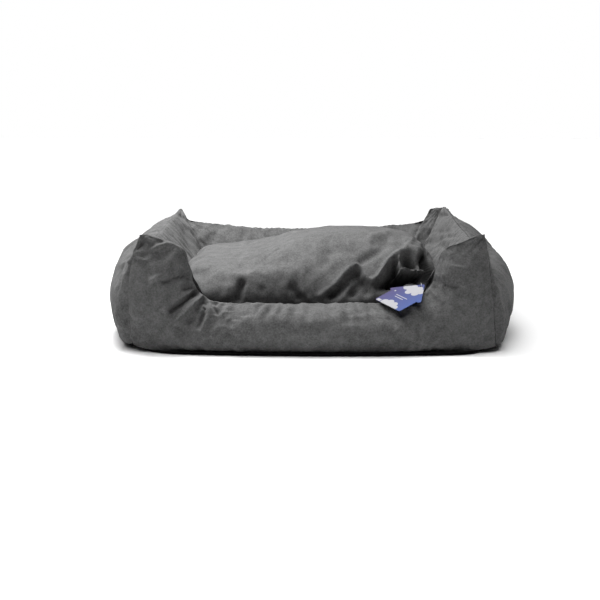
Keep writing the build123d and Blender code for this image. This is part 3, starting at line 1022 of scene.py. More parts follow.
@dataclass
class StuffedWall:
    """One stuffed wall of the surround: an outer and a basin panel, sewn along the crest.

    A place on its cloth is a station, from -1 to 1 along the wall, and a run: 0 at the outer foot, 1 at
    the crest, 2 at the inner foot and 3 at the outer foot again. Pairs hold a value for each end, except
    that a fade is a start and a width, a place or a band is a middle and a half-width, a lump is a
    spacing and a height, and eases are distances from a seam and from the wall's end.
    """

    side: Side
    half_length: float
    reach: float
    bow: float
    belly: float
    bulge: float
    crest_share: float
    crest: Callable[[Numbers], Numbers]
    creases: tuple[Crease, ...] = ()
    inner_creases: tuple[Crease, ...] = ()
    # Pixels of the basin panel where shade is painted into the cloth's colour
    painted_shades: tuple[Crease, ...] = ()
    foot_depth: float = 0.150
    foot_up: float = 0.0035
    corner_bellies: Pair = (0.008, 0.008)
    ear_bulge: float = 0.020
    ear_crest_share: float = 0.227
    foot_handle_share: float = 0.30
    crest_handle_share: float = 1.04
    crest_handle_reach_share: float = 0.86
    foot_handle_reach_share: float = 2.00
    corner_radii: Pair = (0.026, 0.026)
    ear_radius: float = 0.014
    ear_lifts: Pair = (0.0, 0.0)
    ear_widths: Pair = (0.045, 0.045)
    ear_blunt: float = 0.023
    corner_lift: float = 0.010
    corner_lift_width: float = 0.055
    shoulder_sags: Pair = (0.0, 0.0)
    hip_puffs: Pair = (0.0, 0.0)
    entry_ripple: float = 0.0
    entry_ripple_spacing: float = 0.034
    entry_ripple_height: float = 0.16
    entry_ripple_fade: Pair = (0.55, 0.1)
    basin_sag: float = 0.0
    basin_sag_place: Pair = (0.72, 0.14)
    basin_sag_band: Pair = (1.30, 0.26)
    basin_sag_ease: float = 0.10
    hip: EarPatch = EarPatch(0.20, 0.16, ease=0.03, fade=(0.20, 0.30))
    shoulder: EarPatch = EarPatch(0.78, 0.20, ease=0.05, fade=(0.18, 0.30))
    outer_span: float = 0.28
    inner_span: float = 0.27
    lumps: tuple[Pair, ...] = ((0.16, 0.0030), (0.055, 0.0009))
    lump_eases: Pair = (0.05, 0.03)
    crest_fold_share: float = 0.25
    fold_eases: Pair = (0.014, 0.01)
    mitre_hold: float = 0.02
    ear_radius_run: float = 0.95
    slope_radius_run: float = 0.4
    sharp: float = 1e-4
    sewing: Sewing = Sewing()
    columns: int = 150
    outer_rows: int = 46
    inner_rows: int = 42
    under_rows: int = 5
    stuffing: Stuffing = Stuffing(pressure=2.0, spare=0.040, reach=0.007, strength=1.1)

    @property
    def name(self) -> str:
        """The wall's name."""
        return self.side.name.lower()

    @property
    def seed(self) -> int:
        """First seed of the wall's uneven waves."""
        return int(self.side.value) + 100

    @property
    def directions(self) -> tuple[Numbers, Numbers]:
        """Directions along the wall and outwards from the bed's middle."""
        turn = radians(self.side.value)
        return np.array([cos(turn), sin(turn), 0.0]), np.array([sin(turn), -cos(turn), 0.0])

    def turned(self, along: Numbers, out: Numbers) -> Numbers:
        """Floor points given along the wall and outwards from the bed's middle."""
        ahead, outwards = self.directions
        return along[:, None] * ahead + out[:, None] * outwards

    def surface(self, station: Numbers, run: Numbers) -> Numbers:
        """Points of the wall's cloth, with its outer corners rounded in plan."""
        points = self.mitred(station, run)
        side = np.where(station < 0.0, -1.0, 1.0)
        corner = self.mitred(side, run)
        along, out = self.directions
        foot_radius = np.where(station < 0.0, *self.corner_radii)
        radius = mix(foot_radius, self.ear_radius, ramp(run, 0.0, self.ear_radius_run))
        slope_radius = mix(self.ear_radius, self.sharp, ramp(run, 1.0, self.slope_radius_run))
        radius = np.where(run > 1.0, slope_radius, radius)
        radius = np.where(run > 2.0, mix(self.sharp, foot_radius, np.clip(run - 2.0, 0.0, 1.0)), radius)
        end, edge = np.abs(corner @ along), corner @ out
        u = np.maximum(1.0 - (end - np.abs(points @ along)) / radius, 0.0)
        v = np.maximum(1.0 - (edge - points @ out) / radius, 1e-3)
        scale = np.where(u > 0.0, np.maximum(u, v) / np.hypot(u, v), 1.0)
        shift_along = side * u * (scale - 1.0) * radius
        shift_out = v * (scale - 1.0) * radius
        return points + shift_along[:, None] * along + shift_out[:, None] * out

    def mitred(self, station: Numbers, run: Numbers) -> Numbers:
        """Points of the wall's cloth, between sharp corners.

        Args:
            station: Place along the wall.
            run: Place round its section.

        Returns:
            One point per row.
        """
        outer = self.turned(station * self.half_length, self.reach + self.bow * (1.0 - station**2))
        inner = self.turned(station * (self.half_length - self.foot_depth),
                            np.full_like(station, self.reach - self.foot_depth))
        width = lengths(inner - outer)[:, 0]
        across = (inner - outer) / width[:, None]
        fullness = 1.0 - np.abs(station) ** 3
        to_end = (1.0 - np.abs(station)) * self.half_length
        lift = np.where(station < 0.0, *self.ear_lifts)
        blunt = 1.0 - np.hypot(to_end, self.ear_blunt) / self.half_length
        spread = np.where(station < 0.0, *self.ear_widths)
        high = self.crest(np.clip(station, -blunt, blunt)) + lift * hump(to_end, spread)
        foot = self.foot_up + self.corner_lift * hump(to_end, self.corner_lift_width)
        rise = high - foot
        crest = width * mix(self.ear_crest_share, self.crest_share, fullness)
        corner_belly = np.where(station < 0.0, *self.corner_bellies)
        low = mix(crest / 3 - corner_belly, -self.belly * self.foot_handle_reach_share, fullness)
        top = mix(crest * 2 / 3 - corner_belly, -self.belly * self.crest_handle_reach_share, fullness)
        low_up = foot + rise * mix(1 / 3, self.foot_handle_share, fullness)
        top_up = foot + rise * mix(2 / 3, self.crest_handle_share, fullness)
        bulge = mix(self.ear_bulge, self.bulge, fullness) * 4 / 3

        def spot(place: Numbers, up: Numbers) -> Numbers:
            """A handle of the section, inwards and up."""
            return np.stack([place, up], -1)

        outside = (spot(np.zeros_like(rise), foot), spot(low, low_up), spot(top, top_up), spot(crest, high))
        basin = (spot(crest, high), spot(crest + (width - crest) / 3 + bulge, foot + rise * 2 / 3),
                 spot(crest + (width - crest) * 2 / 3 + bulge, foot + rise / 3), spot(width, foot))
        under = (basin[3], mix(basin[3], outside[0], 1 / 3), mix(basin[3], outside[0], 2 / 3), outside[0])
        run = run[:, None]
        flat = cubic(*outside, np.clip(run, 0.0, 1.0))
        flat = np.where(run > 1.0, cubic(*basin, np.clip(run - 1.0, 0.0, 1.0)), flat)
        flat = np.where(run > 2.0, cubic(*under, np.clip(run - 2.0, 0.0, 1.0)), flat)
        up = np.zeros_like(outer)
        up[:, 2] = flat[:, 1]
        return outer + across * flat[:, :1] + up

    def normals(self, station: Numbers, run: Numbers) -> Numbers:
        """Outward normals of the cloth, which lie in the corner seam's plane at the wall's ends."""
        step = 1e-3
        near, far = np.clip(station - step, -1.0, 1.0), np.clip(station + step, -1.0, 1.0)
        along = self.surface(far, run) - self.surface(near, run)
        low, high = run - step, run + step
        shelf = np.floor(run)
        low, high = np.where(low < shelf, shelf, low), np.where(high > shelf + 1.0, shelf + 1.0, high)
        around = self.surface(station, np.maximum(high, low + step)) - self.surface(station, low)
        normal = np.cross(along, around)
        normal = normal / np.maximum(lengths(normal), 1e-12)
        turn = radians(self.side.value) + np.sign(station) * pi / 4
        mitre = np.stack([np.cos(turn), np.sin(turn), np.zeros_like(turn)], -1)
        hold = smooth(1.0 - (1.0 - np.abs(station)) * self.half_length / self.mitre_hold)[:, None]
        normal = normal - mitre * np.sum(normal * mitre, 1)[:, None] * hold
        return normal / np.maximum(lengths(normal), 1e-12)

    def swelling(self, station: Numbers, run: Numbers, to_end: Numbers) -> Numbers:
        """Height of the stuffing's lumps, sags and puffs, by the distance to the wall's end too."""
        along = station * self.half_length
        to_foot = np.where(run <= 1.0, run, 2.0 - run) * self.outer_span
        foot_ease, end_ease = self.lump_eases
        soft = ramp(to_foot, 0.0, foot_ease) * ramp(to_end, 0.0, end_ease)
        height = sum(swell(along, run * self.outer_span, spacing, self.seed + index) * rise * soft
                     for index, (spacing, rise) in enumerate(self.lumps))
        entry = bell(run, self.shoulder.run, self.entry_ripple_height)
        entry = entry * (1.0 - ramp(np.abs(station), *self.entry_ripple_fade))
        puckers = self.entry_ripple * ripple(along, self.entry_ripple_spacing, self.seed + 9)
        height = height + puckers * entry
        sunk = bell(run, *self.basin_sag_band) * ramp(run, 1.0, self.basin_sag_ease)
        height = height - self.basin_sag * sunk * bell(np.abs(station), *self.basin_sag_place)
        for end, sag, puff in zip((-1, 1), self.shoulder_sags, self.hip_puffs):
            away = (1.0 - end * station) * self.half_length
            height = height + puff * self.hip.share(run, away) - sag * self.shoulder.share(run, away)
        return height

    def gathers(self, station: Numbers, run: Numbers, to_end: Numbers, to_crest: Numbers) -> Numbers:
        """Height of the grooves and puckers at the seams, by the distances to the end and the crest."""
        sewing, seed = self.sewing, self.seed
        along = station * self.half_length
        outside = run <= 1.0
        height = -sewing.groove(sewing.crest_groove, to_crest) - sewing.groove(sewing.end_groove, to_end)

        spacing, rise, inner_rise = sewing.crest_puckers
        puckers = ripple(along, spacing, seed + 3) * np.where(outside, rise, inner_rise)
        fading = sewing.fading(sewing.crest_reach, to_crest, along, seed + 2)
        height = height + puckers * fading * ramp(to_end, 0.0, sewing.crest_ease)

        spacing, rise = sewing.end_puckers
        puckers = ripple(run * self.outer_span, spacing, seed + 5) * rise
        fading = sewing.fading(sewing.end_reach, to_end, to_crest, seed + 4)
        height = height + puckers * fading * ramp(to_end, 0.0, sewing.end_ease)

        spacing, rise, reach = sewing.fan
        tip_ease, end_ease = sewing.fan_eases
        for end, start_angle, fan_seed in ((-1, 0.0, seed + 7), (1, 3.0, seed + 8)):
            across = (1.0 - end * station) * self.half_length
            away = np.hypot(across, to_crest)
            fan = ripple(np.arctan2(to_crest, across) + start_angle, spacing, fan_seed) * rise
            eased = fan * np.exp(-away / reach) * ramp(away, 0.0, tip_ease) * ramp(to_end, 0.0, end_ease)
            height = height + eased

        spacing, rise, reach = sewing.foot_puckers
        foot_ease, end_ease = sewing.foot_eases
        to_foot = np.where(outside, run, 2.0 - run) * self.outer_span
        fading = np.exp(-to_foot / reach) * ramp(to_foot, 0.0, foot_ease) * ramp(to_end, 0.0, end_ease)
        return height + ripple(along, spacing, seed + 6) * rise * fading

    def relief(self, station: Numbers, run: Numbers, points: Numbers, normals: Numbers,
               view: Viewpoint) -> Numbers:
        """How far the cloth stands out from its smooth shape.

        Args:
            station: Place along the wall.
            run: Place round its section.
            points: Points of the smooth cloth.
            normals: Its outward normals.
            view: Viewpoint that the folds are placed from.

        Returns:
            Height of the lumps, seams, puckers and folds together.
        """
        outside = run <= 1.0
        to_crest = np.where(outside, (1.0 - run) * self.outer_span, (run - 1.0) * self.inner_span)
        to_end = (1.0 - np.abs(station)) * self.half_length
        pixels = view.pixels(points)
        folds = np.where(outside, folded(self.creases, pixels), folded(self.inner_creases, pixels))
        crest_ease, end_ease = self.fold_eases
        near_crest = mix(self.crest_fold_share, 1.0, ramp(to_crest, 0.0, crest_ease))
        near_seam = near_crest * ramp(to_end, 0.0, end_ease)
        height = self.swelling(station, run, to_end) + self.gathers(station, run, to_end, to_crest)
        return np.where(run > 2.0, 0.0, height + folds * view.facing(points, normals) * near_seam)

    def build(self, view: Viewpoint, finish: bpy.types.Material) -> bpy.types.Object:
        """Makes the wall's closed, stuffed cloth.

        Args:
            view: Viewpoint that the folds are placed from.
            finish: Finish of the cloth.

        Returns:
            The wall.
        """
        rows = self.outer_rows + self.inner_rows + self.under_rows
        wall = fresh_grid(f"{self.name}_wall", self.columns, rows)
        flat = read_points(wall)
        station = flat[:, 0]
        row = (flat[:, 1] + 1.0) / 2 * rows
        marks = np.cumsum([0, self.outer_rows, self.inner_rows, self.under_rows])
        run = np.interp(row, marks, [0.0, 1.0, 2.0, 3.0])
        write_points(wall, self.surface(station, run))
        write_map(wall, np.stack([station, run], 1))
        at_seam = (np.abs(run - np.round(run)) < 1e-4) | (np.abs(station) > 1.0 - 1e-4)
        self.stuffing.fill(wall, at_seam | (run > 2.0))
        subdivide(wall)
        station, run = read_map(wall).T
        normals = self.normals(station, run)
        points = self.surface(station, run)
        height = self.relief(station, run, points, normals, view)
        write_points(wall, read_points(wall) + normals * height[:, None])
        # Paints shade onto the basin panel where the listed pixels fall
        if self.painted_shades:
            write_painted_shade(wall, folded(self.painted_shades, view.pixels(read_points(wall))) * (run > 1.0))
        close_up(wall, 1e-6)
        smooth_shade(wall)
        nodes = [f"{self.name}_{part}" for part in ("outer_panel", "inner_panel", "filling")]
        dress(wall, finish, "surround", nodes)
        return wall


@dataclass
class Surround:
    """The four walls, the base cloth and the basin's floor.

    The base cloth's rim and the broad ear are each a start and a width, as shares of the way from the
    middle to the edge.
    """

    corner: Pair = (0.423, 0.355)
    base_radius: float = 0.100
    left_base_radius: float = 0.115
    # The hem carries the black base cloth out beyond the walls' feet at the front and back, fading towards
    # the sides: partly the cloth's own edge, partly a dark sheet standing in for the shadow under the
    # walls' bellies.
    hem_and_shadow: float = 0.018
    hem_and_shadow_fade_powers: Pair = (6.0, 10.0)
    rim_height: float = 0.006
    rim_shares: Pair = (0.968, 0.028)
    rim_wave: float = 0.0006
    rim_wave_spacing: float = 0.05
    base_cells: tuple[int, int] = (120, 100)
    base_gap: float = 0.0002
    base_thickness: float = 0.0014
    floor_cells: tuple[int, int] = (110, 84)
    floor_gap: float = 0.0001
    floor_slack: float = 0.0004
    floor_wave: float = 0.0008
    floor_wave_spacing: float = 0.09
    floor_flat_share: float = 0.125
    side_bow: float = 0.040
    front_bow: float = 0.025
    side_belly: float = 0.037
    front_belly: float = 0.020
    side_bulge: float = 0.024
    front_bulge: float = 0.026
    entry_bulge: float = 0.008
    side_crest_share: float = 0.385
    front_crest_share: float = 0.40
    ear_height: float = 0.255
    side_height: float = 0.236
    side_dip: float = 0.014
    back_height: float = 0.200
    broad_ear: Pair = (0.845, 0.045)
    entry_height: float = 0.104
    entry_station_shares: tuple[float, ...] = (
        0.0, 0.25, 0.5, 0.56, 0.61, 0.65, 0.69, 0.72, 0.74, 0.755, 0.77, 0.79, 0.83, 0.89, 0.95, 1.0)
    entry_rise_shares: tuple[float, ...] = (
        0.0, 0.0, 0.0, 0.015, 0.05, 0.115, 0.21, 0.33, 0.54, 0.69, 0.82, 0.87, 0.905, 0.945, 0.975, 1.0)
    round_over: float = 0.012

    def side_crest(self, station: Numbers) -> Numbers:
        """Crest height along the right wall, from its front end at -1 to its back end at 1."""
        low = self.side_height - self.side_dip * bell(station, -0.62, 0.40)
        front = mix(low, self.ear_height, 0.10 * station**2 + 0.90 * station**16)
        back = mix(low, self.ear_height, 0.75 * ramp(station, 0.0, 0.65) + 0.25 * station**4)
        return mix(front, back, ramp(station, -0.2, 0.4))

    def back_crest(self, station: Numbers) -> Numbers:
        """Crest height along the back wall, whose right ear is the broad one, at -1."""
        rise = 0.55 * station**2 + 0.45 * station**36
        broad = 0.93 * ramp(-station, *self.broad_ear)
        return mix(self.back_height, self.ear_height, np.maximum(rise, broad))

    def entry_crest(self, station: Numbers) -> Numbers:
        """Crest height along the front wall, low at the entry, with the table's corners rounded."""
        offsets = np.linspace(-self.round_over, self.round_over, 7)
        away = np.abs(station)
        rise = np.mean([np.interp(away + offset, self.entry_station_shares, self.entry_rise_shares)
                        for offset in offsets], axis=0)
        return mix(self.entry_height, self.ear_height, rise)

    def walls(self) -> list[StuffedWall]:
        """The four walls."""
        x, y = self.corner
        front = (x, y, self.front_bow, self.front_belly, self.entry_bulge, self.front_crest_share)
        back = (x, y, self.front_bow, self.front_belly, self.front_bulge, self.front_crest_share)
        side = (y, x, self.side_bow, self.side_belly, self.side_bulge, self.side_crest_share)
        return [
            StuffedWall(Side.FRONT, *front, self.entry_crest, creases=FRONT_CREASES,
                        painted_shades=BASIN_PAINTED_SHADE, corner_bellies=(0.030, 0.008),
                        corner_radii=(0.055, 0.026), ear_lifts=(0.013, 0.015),
                        ear_widths=(0.055, 0.040), entry_ripple=0.0034, basin_sag=0.016),
            StuffedWall(Side.RIGHT, *side, self.side_crest, inner_creases=RIGHT_SLOPE_CREASES,
                        painted_shades=BASIN_PAINTED_SHADE, crest_handle_share=1.02, ear_lifts=(0.012, 0.015),
                        ear_widths=(0.030, 0.150), shoulder_sags=(0.020, 0.0), hip_puffs=(0.006, 0.0)),
            StuffedWall(Side.BACK, *back, self.back_crest, ear_lifts=(0.015, 0.008),
                        ear_widths=(0.070, 0.020)),
            StuffedWall(Side.LEFT, *side, lambda station: self.side_crest(-station),
                        creases=LEFT_CREASES, corner_bellies=(0.008, 0.030),
                        corner_radii=(0.026, 0.055), ear_lifts=(0.008, 0.013),
                        ear_widths=(0.100, 0.050), hip_puffs=(0.0, 0.006)),
        ]

    def base_cloth(self, finish: bpy.types.Material) -> bpy.types.Object:
        """Black cloth under the bed, whose rim turns up round the walls' feet and whose hem reaches out
        before the front and back walls as a dark strip, partly painted shadow.
        """
        x, y = self.corner
        cloth = fresh_grid("base_sheet", *self.base_cells)
        flat = read_points(cloth)
        a, b = flat[:, 0], flat[:, 1]
        edge = np.maximum(np.abs(a), np.abs(b))
        bowed_x = a * (x + self.side_bow * (1.0 - b**2))
        # Painted shadow: the hem reaches the black cloth out before the front and back walls, fading
        # towards the sides.
        fade = 1.0 - np.abs(a) ** np.where(a > 0.0, self.hem_and_shadow_fade_powers[1], self.hem_and_shadow_fade_powers[0])
        bowed_y = b * (y + self.hem_and_shadow * fade + self.front_bow * (1.0 - a**2))
        radius = np.where(a < 0.0, self.left_base_radius, self.base_radius)
        u = np.maximum(1.0 - (x - np.abs(bowed_x)) / radius, 0.0)
        v = np.maximum(1.0 - (y - np.abs(bowed_y)) / radius, 0.0)
        scale = np.where((u > 0.0) & (v > 0.0), np.maximum(u, v) / np.maximum(np.hypot(u, v), 1e-6), 1.0)
        bowed_x = bowed_x + np.sign(a) * u * (scale - 1.0) * radius
        bowed_y = bowed_y + np.sign(b) * v * (scale - 1.0) * radius
        rim = ramp(edge, *self.rim_shares)
        wave = self.rim_wave * (1.0 + ripple(bowed_x + bowed_y, self.rim_wave_spacing, 71))
        up = self.base_gap + rim * (self.rim_height * fade + wave)
        write_points(cloth, np.stack([bowed_x, bowed_y, up], 1))
        thicken(cloth, self.base_thickness)
        smooth_shade(cloth)
        dress(cloth, finish, "surround", ["base_cloth"])
        return cloth

    def floor(self, wadding: bpy.types.Material, suede: bpy.types.Material) -> None:
        """Thin wadding on the base cloth and the floor cloth over it."""
        for name, node, finish, slot in (("basin_wadding", "floor_wadding", wadding, "stuffing"),
                                         ("basin_floor", "floor_cloth", suede, "wall_cloth")):
            low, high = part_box(node)
            sheet = fresh_grid(name, *self.floor_cells)
            flat = read_points(sheet)
            x = mix(low.x, high.x, (flat[:, 0] + 1.0) / 2)
            y = mix(low.y, high.y, (flat[:, 1] + 1.0) / 2)
            thick = high.z - low.z
            across, along = [ramp(1.0 - np.abs(flat[:, axis]), 0.0, self.floor_flat_share)
                             for axis in (0, 1)]
            wave = swell(x, y, self.floor_wave_spacing, 31) * self.floor_wave * (across * along)
            is_cloth = node == "floor_cloth"
            up = np.full_like(x, low.z + self.floor_gap) + wave * is_cloth
            write_points(sheet, np.stack([x, y, up], 1))
            thicken(sheet, thick - self.floor_slack)
            smooth_shade(sheet)
            dress(sheet, finish, "surround", [node])

    def build(self, view: Viewpoint, finishes: Finishes) -> None:
        """Makes every piece of the surround."""
        for wall in self.walls():
            wall.build(view, finishes.wall)
        self.base_cloth(finishes.base)
        self.floor(finishes.wadding, finishes.plain_wall)


@dataclass
class Cushion:
    """Loose, crowned cushion with a zip in its right side.

    Pairs are sizes in X and Y for half and seam_half, a middle and a half-width where the name ends in
    band, a spacing and a height for the lumps, and elsewhere where something starts and the distance
    over which it takes hold. The shares of a crown's curve run from the widest line up to the crown.
    """

    half: Pair = (0.3056, 0.2436)
    bottom: float = 0.0143
    seam: float = 0.085
    widest: float = 0.130
    crown: float = 0.236
    dome: float = 0.0015
    draw: float = 0.009
    zip_band: float = 0.020
    zip_face: float = 0.2676
    zip_end: float = 0.1425
    corner_power: float = 7.5
    under_reach_shares: tuple[float, ...] = (0.80, 0.88, 0.955)
    under_depth_shares: tuple[float, ...] = (0.79, 0.835, 0.90)
    under_rise_shares: tuple[float, ...] = (0.27, 0.61)
    crown_rise_shares: tuple[float, ...] = (0.52, 0.93)
    left_crown_shares: tuple[float, ...] = (0.985, 0.49, -0.20)
    right_crown_shares: tuple[float, ...] = (1.02, 0.93, 0.49)
    front_crown_shares: tuple[float, ...] = (1.0, 0.66, 0.22)
    back_crown_shares: tuple[float, ...] = (1.0, 0.70, 0.26)
    front_part: Pair = (0.05, 0.14)
    front_drop: float = 0.040
    front_drop_height: float = 0.055
    front_spread: float = 0.018
    front_spread_band: Pair = (0.105, 0.050)
    firm_side: Pair = (0.225, 0.025)
    firm_end: Pair = (0.150, 0.030)
    crown_part: Pair = (0.15, 0.05)
    left_dip: float = 0.012
    left_dip_band: Pair = (-0.09, 0.085)
    left_slope: float = 0.022
    left_slope_band: Pair = (-0.185, 0.085)
    left_spread: float = 0.031
    left_part: Pair = (0.19, 0.08)
    left_spread_band: Pair = (0.145, 0.062)
    corner_pull: float = 0.026
    corner_side: Pair = (0.235, 0.035)
    corner_front: Pair = (0.160, 0.030)
    corner_pull_band: Pair = (0.125, 0.060)
    lump_part: Pair = (0.05, 0.06)
    lumps: tuple[Pair, ...] = ((0.19, 0.0035), (0.06, 0.0010))
    edge_height: float = 0.030
    edge_end: Pair = (0.262, 0.01)
    edge_rounds: int = 12
    held_height: float = 0.03
    held_side_start: float = 0.25
    held_side_height: float = 0.12
    seam_depth: float = 0.0020
    seam_width: float = 0.004
    seam_half: Pair = (0.245, 0.18)
    seam_fade: float = 0.02
    zip_part: Pair = (0.245, 0.01)
    # Fold depth at which painted shade starts, and the further depth over which it grows to full
    painted_fold_shade: Pair = (0.008, 0.040)
    deepest_fold: float = 0.055
    highest_fold: float = 0.018
    recess_depth: float = 0.0072
    recess_half_height: float = 0.0165
    recess_margin: float = 0.0095
    recess_start: float = 0.2
    cap_share: float = 0.17
    columns: int = 96
    rows: int = 76
    side_rows: int = 20
    stuffing: Stuffing = Stuffing(pressure=1.5, spare=0.030, reach=0.006, strength=1.0)

    def line(self, shares: Sequence[float], half: float, share: Numbers) -> Numbers:
        """Reach of one side above the widest line, at a share of its curve."""
        return half * cubic(1.0, *shares, share)

    def under(self, shares: Sequence[float], half: float) -> tuple[Numbers, Numbers]:
        """Reach and height of one side below the widest line."""
        share = np.linspace(0.0, 1.0, 200)
        low, high = [mix(self.bottom, self.widest, rise) for rise in self.under_rise_shares]
        return half * cubic(*shares, 1.0, share), cubic(self.bottom, low, high, self.widest, share)

    def outline(self, a: Numbers, b: Numbers, left: Numbers, right: Numbers, front: Numbers,
                back: Numbers, draw: Numbers) -> Numbers:
        """Rounded outline points.

        Args:
            a: Place across, from -1 to 1, where either a or b is at its limit.
            b: Place along, from -1 to 1.
            left: Reach to the left.
            right: Reach to the right.
            front: Reach to the front.
            back: Reach to the back.
            draw: How far the sides are drawn in between their corners.

        Returns:
            Points in X and Y.
        """
        power = self.corner_power
        size = np.maximum((np.abs(a) ** power + np.abs(b) ** power) ** (1.0 / power), 1e-6)
        u, v = a / size, b / size
        x = mix(-left, right, (u + 1.0) / 2) - np.sign(u) * np.abs(u) ** 6 * draw * (1.0 - v**2)
        y = mix(-front, back, (v + 1.0) / 2) - np.sign(v) * np.abs(v) ** 6 * draw * (1.0 - u**2)
        return np.stack([x, y], -1)

    def top(self, flat: Numbers) -> Numbers:
        """Points of the crown from a flat grid."""
        a, b = flat[:, 0], flat[:, 1]
        ring = np.maximum(np.maximum(np.abs(a), np.abs(b)), 1e-6)
        share = np.clip((1.0 - ring) / (1.0 - self.cap_share), 0.0, 1.0)
        inner = np.clip(ring / self.cap_share, 0.0, 1.0)
        half_x, half_y = self.half
        left = self.line(self.left_crown_shares, half_x, share)
        right = self.line(self.right_crown_shares, half_x, share)
        front = self.line(self.front_crown_shares, half_y, share)
        back = self.line(self.back_crown_shares, half_y, share)
        middle = np.stack([(right - left) / 2, (back - front) / 2], -1)
        edge = self.outline(a / ring, b / ring, left, right, front, back, self.draw * (1.0 - share))
        edge = middle + (edge - middle) * inner[:, None]
        low, high = [mix(self.widest, self.crown, rise) for rise in self.crown_rise_shares]
        up = cubic(self.widest, low, high, self.crown, share) + self.dome * (1.0 - inner**2)
        return np.concatenate([edge, up[:, None]], 1)

    def side(self, a: Numbers, b: Numbers, up: Numbers) -> Numbers:
        """Points of the sides between the bottom and the widest line."""
        half_x, half_y = self.half
        reach, rise = self.under(self.under_reach_shares, half_x)
        depth, depth_rise = self.under(self.under_depth_shares, half_y)
        left = np.interp(up, rise, reach)
        front = np.interp(up, depth_rise, depth)
        stations = [self.bottom, self.bottom + 0.015, self.seam - self.zip_band - 0.012,
                    self.seam - self.zip_band, self.seam + self.zip_band, self.widest - 0.010, self.widest]
        drawn = self.zip_face
        reaches = [half_x * self.under_reach_shares[0], 0.2530, 0.2655,
                   drawn, drawn, half_x - 0.006, half_x]
        right = np.interp(up, stations, reaches)
        draw = self.draw * smooth((up - self.bottom) / (self.widest - self.bottom))
        flat = self.outline(a, b, left, right, front, front, draw)
        return np.concatenate([flat, up[:, None]], 1)

    def slumped(self, points: Numbers) -> Numbers:
        """Points of the loose cover as it slumps to the front and the left, apart from the zip."""
        points = points.copy()
        x, y, z = points.T
        firm = ramp(x, *self.firm_side) * (1.0 - ramp(np.abs(y), *self.firm_end))
        loose = ramp(-y, *self.front_part) * (1.0 - firm)
        z -= self.front_drop * loose * bell(z, self.widest, self.front_drop_height)
        y -= self.front_spread * loose * bell(z, *self.front_spread_band)
        sunk = (self.left_dip * bell(x, *self.left_dip_band)
                + self.left_slope * bell(x, *self.left_slope_band))
        z -= sunk * ramp(z, *self.crown_part)
        x -= self.left_spread * (ramp(-x, *self.left_part) * bell(z, *self.left_spread_band))
        corner = ramp(x, *self.corner_side) * ramp(-y, *self.corner_front)
        x -= self.corner_pull * corner * bell(z, *self.corner_pull_band)
        return points

    def place(self, cushion: bpy.types.Object, view: Viewpoint) -> None:
        """Slumps and folds the loose cover, and paints shade into its deep folds and gaps."""
        normals = read_normals(cushion)
        points = self.slumped(read_points(cushion))
        x, y, z = points.T
        level = ramp(z, *self.lump_part)
        (wide, high), (narrow, low) = self.lumps
        height = swell(x, y + z, wide, 51) * high * level + swell(x, y - z, narrow, 52) * low * level
        across, along = [smooth((half - np.abs(place)) / self.seam_fade)
                         for half, place in zip(self.seam_half, (x, y))]
        sewn = np.clip(across + along * (x < 0.0), 0.0, 1.0)
        height = height - self.seam_depth * bell(z, self.seam, self.seam_width) * sewn
        faced = view.facing(points, normals)
        folds = folded(CUSHION_CREASES, view.pixels(points))
        height = height + np.clip(folds, -self.deepest_fold, self.highest_fold) * faced
        zip_part = ramp(x, *self.zip_part) * (z < self.widest)
        points = points + normals * (height * (1.0 - zip_part))[:, None]
        write_points(cushion, points)
        # Painted shade in deep folds and in the listed gaps, kept on the front half
        painted_gap_shade = folded(CUSHION_PAINTED_SHADE, view.pixels(points)) * (points[:, 1] < 0.0)
        write_painted_shade(cushion, ramp(-folds, *self.painted_fold_shade) * faced + painted_gap_shade)

    def build(self, view: Viewpoint, finish: bpy.types.Material) -> bpy.types.Object:
        """Makes the cushion's closed, stuffed cover.

        Args:
            view: Viewpoint that the folds are placed from.
            finish: Finish of the cloth.

        Returns:
            The cushion.
        """
        crown = fresh_grid("cushion", self.columns, self.rows)
        write_points(crown, self.top(read_points(crown)))
        belly = fresh_grid("belly", self.columns, self.rows)
        flat = read_points(belly)
        ring = np.maximum(np.maximum(np.abs(flat[:, 0]), np.abs(flat[:, 1])), 1e-6)
        foot = self.side(flat[:, 0] / ring, flat[:, 1] / ring, np.full(len(ring), self.bottom))
        foot[:, :2] *= ring[:, None]
        write_points(belly, foot)
        pieces = [crown, belly]
        for name, cells, across, end in (
                ("front_band", self.columns, True, -1.0), ("back_band", self.columns, True, 1.0),
                ("left_band", self.rows, False, -1.0), ("right_band", self.rows, False, 1.0)):
            band = fresh_grid(name, cells, self.side_rows)
            flat = read_points(band)
            edge = np.full(len(flat), end)
            a, b = (flat[:, 0], edge) if across else (edge, flat[:, 0])
            up = mix(self.bottom, self.widest, (flat[:, 1] + 1.0) / 2)
            write_points(band, self.side(a, b, up))
            pieces.append(band)
        bpy.ops.object.select_all(action="DESELECT")
        for piece in pieces:
            piece.select_set(True)
        bpy.context.view_layer.objects.active = crown
        bpy.ops.object.join()
        close_up(crown, 2e-5)
        points = read_points(crown)
        soft = even_out(crown, points, self.edge_rounds)
        edge = bell(points[:, 2], self.widest, self.edge_height)
        edge = edge * (1.0 - ramp(points[:, 0], *self.edge_end))
        write_points(crown, mix(points, soft, edge[:, None]))
        x, _, z = read_points(crown).T
        beside_zip = (x > self.held_side_start) & (z < self.held_side_height)
        self.stuffing.fill(crown, (z < self.held_height) | beside_zip)
        subdivide(crown)
        self.place(crown, view)
        self.recess(crown)
        smooth_shade(crown, 60.0)
        dress(crown, finish, "cushion",
              ["cushion_top_cover", "cushion_bottom_cover", "cushion_filling"])
        return crown

